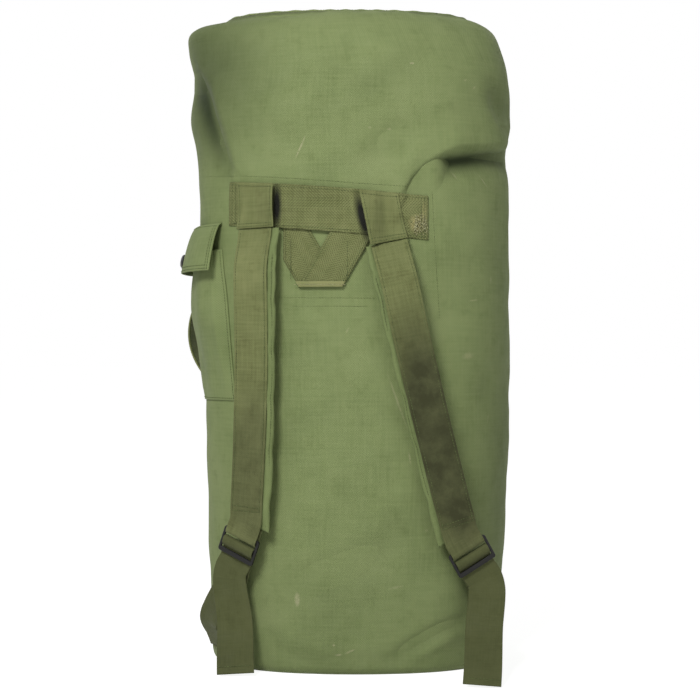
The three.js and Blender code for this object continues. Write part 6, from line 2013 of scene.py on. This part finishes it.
# Stitches, made by one node tree that lays a short thread at even steps along every seam
def stitch_tree():
    tree = bpy.data.node_groups.new("stitches_along_seams", "GeometryNodeTree")
    face = tree.interface
    face.new_socket("Geometry", in_out="INPUT", socket_type="NodeSocketGeometry")
    sockets = {}
    for label, size in (("Pitch", STITCH_PITCH), ("Length", STITCH_LENGTH), ("Radius", STITCH_RADIUS)):
        socket = face.new_socket(label, in_out="INPUT", socket_type="NodeSocketFloat")
        socket.default_value = size
        socket.subtype = "DISTANCE"
        sockets[label] = socket.identifier
    socket = face.new_socket("Thread", in_out="INPUT", socket_type="NodeSocketMaterial")
    sockets["Thread"] = socket.identifier
    face.new_socket("Geometry", in_out="OUTPUT", socket_type="NodeSocketGeometry")
    make, link = tree.nodes.new, tree.links.new
    group_in, group_out = make("NodeGroupInput"), make("NodeGroupOutput")
    curve = make("GeometryNodeMeshToCurve")
    link(group_in.outputs["Geometry"], curve.inputs[0])
    even = make("GeometryNodeResampleCurve")
    even.mode = "LENGTH"
    link(curve.outputs[0], even.inputs["Curve"])
    link(group_in.outputs["Pitch"], even.inputs["Length"])
    tangent = make("GeometryNodeInputTangent")
    turn = make("FunctionNodeAlignRotationToVector")
    turn.axis = "Z"
    link(tangent.outputs[0], turn.inputs["Vector"])
    body = make("GeometryNodeMeshCylinder")
    body.inputs["Vertices"].default_value = 6
    body.inputs["Side Segments"].default_value = 3
    link(group_in.outputs["Radius"], body.inputs["Radius"])
    link(group_in.outputs["Length"], body.inputs["Depth"])
    place = make("GeometryNodeInputPosition")
    parts = make("ShaderNodeSeparateXYZ")
    link(place.outputs[0], parts.inputs[0])
    share = make("ShaderNodeMath")
    share.operation = "DIVIDE"
    link(parts.outputs[2], share.inputs[0])
    link(group_in.outputs["Length"], share.inputs[1])
    square = make("ShaderNodeMath")
    square.operation = "MULTIPLY"
    link(share.outputs[0], square.inputs[0])
    link(share.outputs[0], square.inputs[1])
    slim = make("ShaderNodeMath")
    slim.operation = "MULTIPLY_ADD"
    link(square.outputs[0], slim.inputs[0])
    slim.inputs[1].default_value = -2.6
    slim.inputs[2].default_value = 1.0
    narrow = make("ShaderNodeCombineXYZ")
    link(slim.outputs[0], narrow.inputs[0])
    link(slim.outputs[0], narrow.inputs[1])
    narrow.inputs[2].default_value = 1.0
    scaled = make("ShaderNodeVectorMath")
    scaled.operation = "MULTIPLY"
    link(place.outputs[0], scaled.inputs[0])
    link(narrow.outputs[0], scaled.inputs[1])
    shaped = make("GeometryNodeSetPosition")
    link(body.outputs["Mesh"], shaped.inputs["Geometry"])
    link(scaled.outputs[0], shaped.inputs["Position"])
    laid = make("GeometryNodeInstanceOnPoints")
    link(even.outputs[0], laid.inputs["Points"])
    link(shaped.outputs[0], laid.inputs["Instance"])
    link(turn.outputs[0], laid.inputs["Rotation"])
    real = make("GeometryNodeRealizeInstances")
    link(laid.outputs[0], real.inputs[0])
    paint = make("GeometryNodeSetMaterial")
    link(real.outputs[0], paint.inputs["Geometry"])
    link(group_in.outputs["Thread"], paint.inputs["Material"])
    link(paint.outputs[0], group_out.inputs[0])
    return tree, sockets


def make_stitches(pitch, length, radius):
    tree, sockets = stitch_tree()
    for (body, thread), paths in SEAMS.items():
        points, edges = [], []
        for path in paths:
            start = len(points)
            points.extend(tuple(p) for p in path)
            edges.extend((start + k, start + k + 1) for k in range(len(path) - 1))
        mesh = bpy.data.meshes.new(f"{body}_{thread}")
        mesh.from_pydata(points, edges, [])
        piece = bpy.data.objects.new(f"{body}_{thread}", mesh)
        bpy.context.scene.collection.objects.link(piece)
        sewing = piece.modifiers.new("sewing", "NODES")
        sewing.node_group = tree
        sewing[sockets["Pitch"]] = pitch
        sewing[sockets["Length"]] = length
        sewing[sockets["Radius"]] = radius
        sewing[sockets["Thread"]] = finish_of(thread)
        freeze(piece)
        if not len(piece.data.polygons):
            raise RuntimeError(f"no stitches were made on {body}")
        settle(piece, body, thread)


# Stage: a pale floor, soft light and a camera level with the bag's middle
IMAGE_SIDE = 700
FOCAL_PIXELS = 1800
AXIS_COLUMN = 356
SENSOR_WIDTH = 36.0
FLOOR_SEGMENTS = 64
FLOOR_RINGS = (0.01, 0.4, 1.0, 2.5)
KEY_LAMP = dict(place=(-0.85, -2.35, 2.05), aim=(0, 0, 0.42), size=0.9)
FILL_LAMP = dict(place=(1.5, -2.4, 0.9), aim=(0, 0, 0.4), size=1.6)
GLOW_SHARE = 0.35
GLOW_STRENGTH = 2.45


def backdrop_finish():
    """Pale floor that shows white to the camera and in gloss, and keeps the object's shadow."""
    material = bpy.data.materials.new("backdrop")
    material.use_nodes = True
    tree = material.node_tree
    tree.nodes.clear()
    out = tree.nodes.new("ShaderNodeOutputMaterial")
    matt = tree.nodes.new("ShaderNodeBsdfDiffuse")
    matt.inputs["Color"].default_value = linear(BACKDROP_WHITE)
    glow = tree.nodes.new("ShaderNodeEmission")
    glow.inputs["Color"].default_value = (1, 1, 1, 1)
    glow.inputs["Strength"].default_value = GLOW_STRENGTH
    path = tree.nodes.new("ShaderNodeLightPath")
    seen = maths(tree, "MAXIMUM", path.outputs["Is Camera Ray"], path.outputs["Is Glossy Ray"])
    seen = maths(tree, "MAXIMUM", seen, path.outputs["Is Transmission Ray"])
    blend = tree.nodes.new("ShaderNodeMixShader")
    tree.links.new(maths(tree, "MULTIPLY", seen, GLOW_SHARE), blend.inputs[0])
    tree.links.new(matt.outputs[0], blend.inputs[1])
    tree.links.new(glow.outputs[0], blend.inputs[2])
    tree.links.new(blend.outputs[0], out.inputs["Surface"])
    return material


def make_floor(reach):
    """A wide round floor."""
    around = FLOOR_SEGMENTS
    angles = np.linspace(0, 2 * math.pi, around, endpoint=False)
    rings = [level_ring(angles, radius, 0.0, 0.0) for radius in FLOOR_RINGS + (reach,)]
    points = np.array(rings).reshape(-1, 3)
    faces = []
    for j in range(len(rings) - 1):
        for i in range(around):
            k = (i + 1) % around
            faces.append((j * around + i, (j + 1) * around + i, (j + 1) * around + k, j * around + k))
    faces.append(tuple(range(around)))
    floor = new_mesh("floor", points, faces, outward=False)
    floor.data.materials.append(backdrop_finish())


def make_world(strength):
    scene = bpy.context.scene
    world = bpy.data.worlds.new("studio")
    scene.world = world
    world.use_nodes = True
    tree = world.node_tree
    tree.nodes.clear()
    out = tree.nodes.new("ShaderNodeOutputWorld")
    light = tree.nodes.new("ShaderNodeBackground")
    light.inputs["Color"].default_value = (1, 1, 1, 1)
    path = tree.nodes.new("ShaderNodeLightPath")
    seen = maths(tree, "MAXIMUM", path.outputs["Is Camera Ray"], path.outputs["Is Glossy Ray"])
    seen = maths(tree, "MAXIMUM", seen, path.outputs["Is Transmission Ray"])
    tree.links.new(spread(tree, seen, 0, 1, strength, 1.0), light.inputs["Strength"])
    tree.links.new(light.outputs[0], out.inputs["Surface"])


def make_lamp(name, place, aim, size, power):
    lamp = bpy.data.lights.new(name, "AREA")
    lamp.shape = "DISK"
    lamp.size = size
    lamp.energy = power
    holder = bpy.data.objects.new(name, lamp)
    bpy.context.scene.collection.objects.link(holder)
    holder.location = place
    holder.rotation_euler = (Vector(aim) - Vector(place)).to_track_quat("-Z", "Y").to_euler()


def make_camera(distance, height):
    scene = bpy.context.scene
    lens = bpy.data.cameras.new("photo_view")
    lens.sensor_width = SENSOR_WIDTH
    lens.lens = FOCAL_PIXELS / IMAGE_SIDE * SENSOR_WIDTH
    lens.shift_x = (IMAGE_SIDE / 2 - AXIS_COLUMN) / IMAGE_SIDE
    lens.clip_start = 0.01
    holder = bpy.data.objects.new("photo_view", lens)
    scene.collection.objects.link(holder)
    holder.location = (0, -distance, height)
    holder.rotation_euler = (math.pi / 2, 0, 0)
    scene.camera = holder


# Sizes and colours that a user would change
class BagSizes(bpy.types.PropertyGroup):
    stitch_pitch: bpy.props.FloatProperty(
        name="Stitch pitch", description="Distance from one stitch to the next",
        default=STITCH_PITCH, min=0.002, max=0.01, unit="LENGTH", precision=4)
    stitch_length: bpy.props.FloatProperty(
        name="Stitch length", description="Length of one stitch", default=STITCH_LENGTH, min=0.001,
        max=0.008, unit="LENGTH", precision=4)
    thread_radius: bpy.props.FloatProperty(
        name="Thread radius", description="Half the thread's thickness", default=STITCH_RADIUS,
        min=0.0002, max=0.001, unit="LENGTH", precision=5)


class BagColours(bpy.types.PropertyGroup):
    nylon: bpy.props.FloatVectorProperty(
        name="Nylon", description="Colour of the nylon duck", default=[c / 255 for c in NYLON_GREEN],
        min=0, max=1, subtype="COLOR_GAMMA")
    webbing: bpy.props.FloatVectorProperty(
        name="Webbing", description="Colour of the straps and bands",
        default=[c / 255 for c in WEBBING_OLIVE], min=0, max=1, subtype="COLOR_GAMMA")
    tail: bpy.props.FloatVectorProperty(
        name="Tails", description="Colour of the hanging tails and load webs",
        default=[c / 255 for c in TAIL_OLIVE], min=0, max=1, subtype="COLOR_GAMMA")
    plastic: bpy.props.FloatVectorProperty(
        name="Plastic", description="Colour of the moulded slides", default=[c / 255 for c in PLASTIC_BLACK],
        min=0, max=1, subtype="COLOR_GAMMA")
    brass: bpy.props.FloatVectorProperty(
        name="Brass", description="Colour of the tarnished brass", default=[c / 255 for c in BRASS_DARK],
        min=0, max=1, subtype="COLOR_GAMMA")


class StageSettings(bpy.types.PropertyGroup):
    camera_distance: bpy.props.FloatProperty(
        name="Camera distance", description="From the bag's axis to the camera", default=2.25, min=0.5,
        unit="LENGTH")
    camera_height: bpy.props.FloatProperty(
        name="Camera height", description="Height of the level camera", default=0.382, min=0,
        unit="LENGTH")
    sky: bpy.props.FloatProperty(
        name="Sky light", description="Strength of the even light from all round", default=0.24, min=0)
    key: bpy.props.FloatProperty(
        name="Key lamp", description="Power of the large soft lamp at the upper left", default=52, min=0,
        unit="POWER")
    fill: bpy.props.FloatProperty(
        name="Fill lamp", description="Power of the soft lamp in front", default=6, min=0, unit="POWER")
    floor_reach: bpy.props.FloatProperty(
        name="Floor reach", description="Radius of the floor", default=40, min=2, unit="LENGTH")


class DUFFEL_OT_body(bpy.types.Operator):
    """Make the filled nylon body, its base cloth and the tape of its base seam"""
    bl_idname = "duffel.body"
    bl_label = "Body"

    def execute(self, context):
        make_body()
        return {"FINISHED"}


class DUFFEL_OT_lining(bpy.types.Operator):
    """Make the back seam, the inner reinforcement and its stitch lines"""
    bl_idname = "duffel.lining"
    bl_label = "Seams and Lining"

    def execute(self, context):
        make_seams_and_lining()
        return {"FINISHED"}


class DUFFEL_OT_yoke(bpy.types.Operator):
    """Make the two crossed webs and the band sewn over them"""
    bl_idname = "duffel.yoke"
    bl_label = "Yoke"

    def execute(self, context):
        make_yoke()
        return {"FINISHED"}


class DUFFEL_OT_straps(bpy.types.Operator):
    """Make both padded straps with their webs, slides, tails and anchors"""
    bl_idname = "duffel.straps"
    bl_label = "Shoulder Straps"

    def execute(self, context):
        for name in STRAPS:
            make_strap(name)
        return {"FINISHED"}


class DUFFEL_OT_pocket(bpy.types.Operator):
    """Make the side pocket, its hem, its flap and its snap"""
    bl_idname = "duffel.pocket"
    bl_label = "Side Pocket"

    def execute(self, context):
        make_pocket()
        return {"FINISHED"}


class DUFFEL_OT_handle(bpy.types.Operator):
    """Make the side handle and its two sewn patches"""
    bl_idname = "duffel.handle"
    bl_label = "Side Handle"

    def execute(self, context):
        make_handle()
        return {"FINISHED"}


class DUFFEL_OT_mouth(bpy.types.Operator):
    """Make the mouth's hem, folded-in parts, tongues, grommets and staple"""
    bl_idname = "duffel.mouth"
    bl_label = "Mouth"

    def execute(self, context):
        make_mouth()
        return {"FINISHED"}


class DUFFEL_OT_hook(bpy.types.Operator):
    """Make the snap hook on its web tab"""
    bl_idname = "duffel.hook"
    bl_label = "Snap Hook"

    def execute(self, context):
        make_hook()
        return {"FINISHED"}


class DUFFEL_OT_stitches(bpy.types.Operator):
    """Lay the stitches along every seam made so far"""
    bl_idname = "duffel.stitches"
    bl_label = "Stitches"

    def execute(self, context):
        sizes = context.scene.bag_sizes
        make_stitches(sizes.stitch_pitch, sizes.stitch_length, sizes.thread_radius)
        return {"FINISHED"}


class DUFFEL_OT_stage(bpy.types.Operator):
    """Make the floor, the light and the camera"""
    bl_idname = "duffel.stage"
    bl_label = "Stage"

    def execute(self, context):
        scene = context.scene
        settings = scene.bag_stage
        scene.view_settings.view_transform = "Standard"
        make_floor(settings.floor_reach)
        make_world(settings.sky)
        make_lamp("key", power=settings.key, **KEY_LAMP)
        make_lamp("fill", power=settings.fill, **FILL_LAMP)
        make_camera(settings.camera_distance, settings.camera_height)
        return {"FINISHED"}


class DUFFEL_PT_panel(bpy.types.Panel):
    bl_idname = "DUFFEL_PT_panel"
    bl_label = "Duffel Bag"
    bl_space_type = "VIEW_3D"
    bl_region_type = "UI"
    bl_category = "Duffel Bag"

    def draw(self, context):
        scene = context.scene
        for settings in (scene.bag_sizes, scene.bag_colours, scene.bag_stage):
            box = self.layout.box()
            for name in settings.__annotations__:
                box.prop(settings, name)
        for operator in PIECES:
            self.layout.operator(operator.bl_idname)


GROUPS = {"bag_sizes": BagSizes, "bag_colours": BagColours, "bag_stage": StageSettings}
PIECES = (
    DUFFEL_OT_body, DUFFEL_OT_lining, DUFFEL_OT_yoke, DUFFEL_OT_straps, DUFFEL_OT_pocket,
    DUFFEL_OT_handle, DUFFEL_OT_mouth, DUFFEL_OT_hook, DUFFEL_OT_stitches, DUFFEL_OT_stage,
)


def register():
    for name, group in GROUPS.items():
        bpy.utils.register_class(group)
        setattr(bpy.types.Scene, name, bpy.props.PointerProperty(type=group))
    for kind in PIECES:
        bpy.utils.register_class(kind)
    bpy.utils.register_class(DUFFEL_PT_panel)


def unregister():
    bpy.utils.unregister_class(DUFFEL_PT_panel)
    for kind in reversed(PIECES):
        bpy.utils.unregister_class(kind)
    for name, group in GROUPS.items():
        delattr(bpy.types.Scene, name)
        bpy.utils.unregister_class(group)


def main():
    noise.seed_set(7)
    register()
    for kind in PIECES:
        category, operator = kind.bl_idname.split(".")
        getattr(getattr(bpy.ops, category), operator)()


if __name__ == "__main__":
    main()
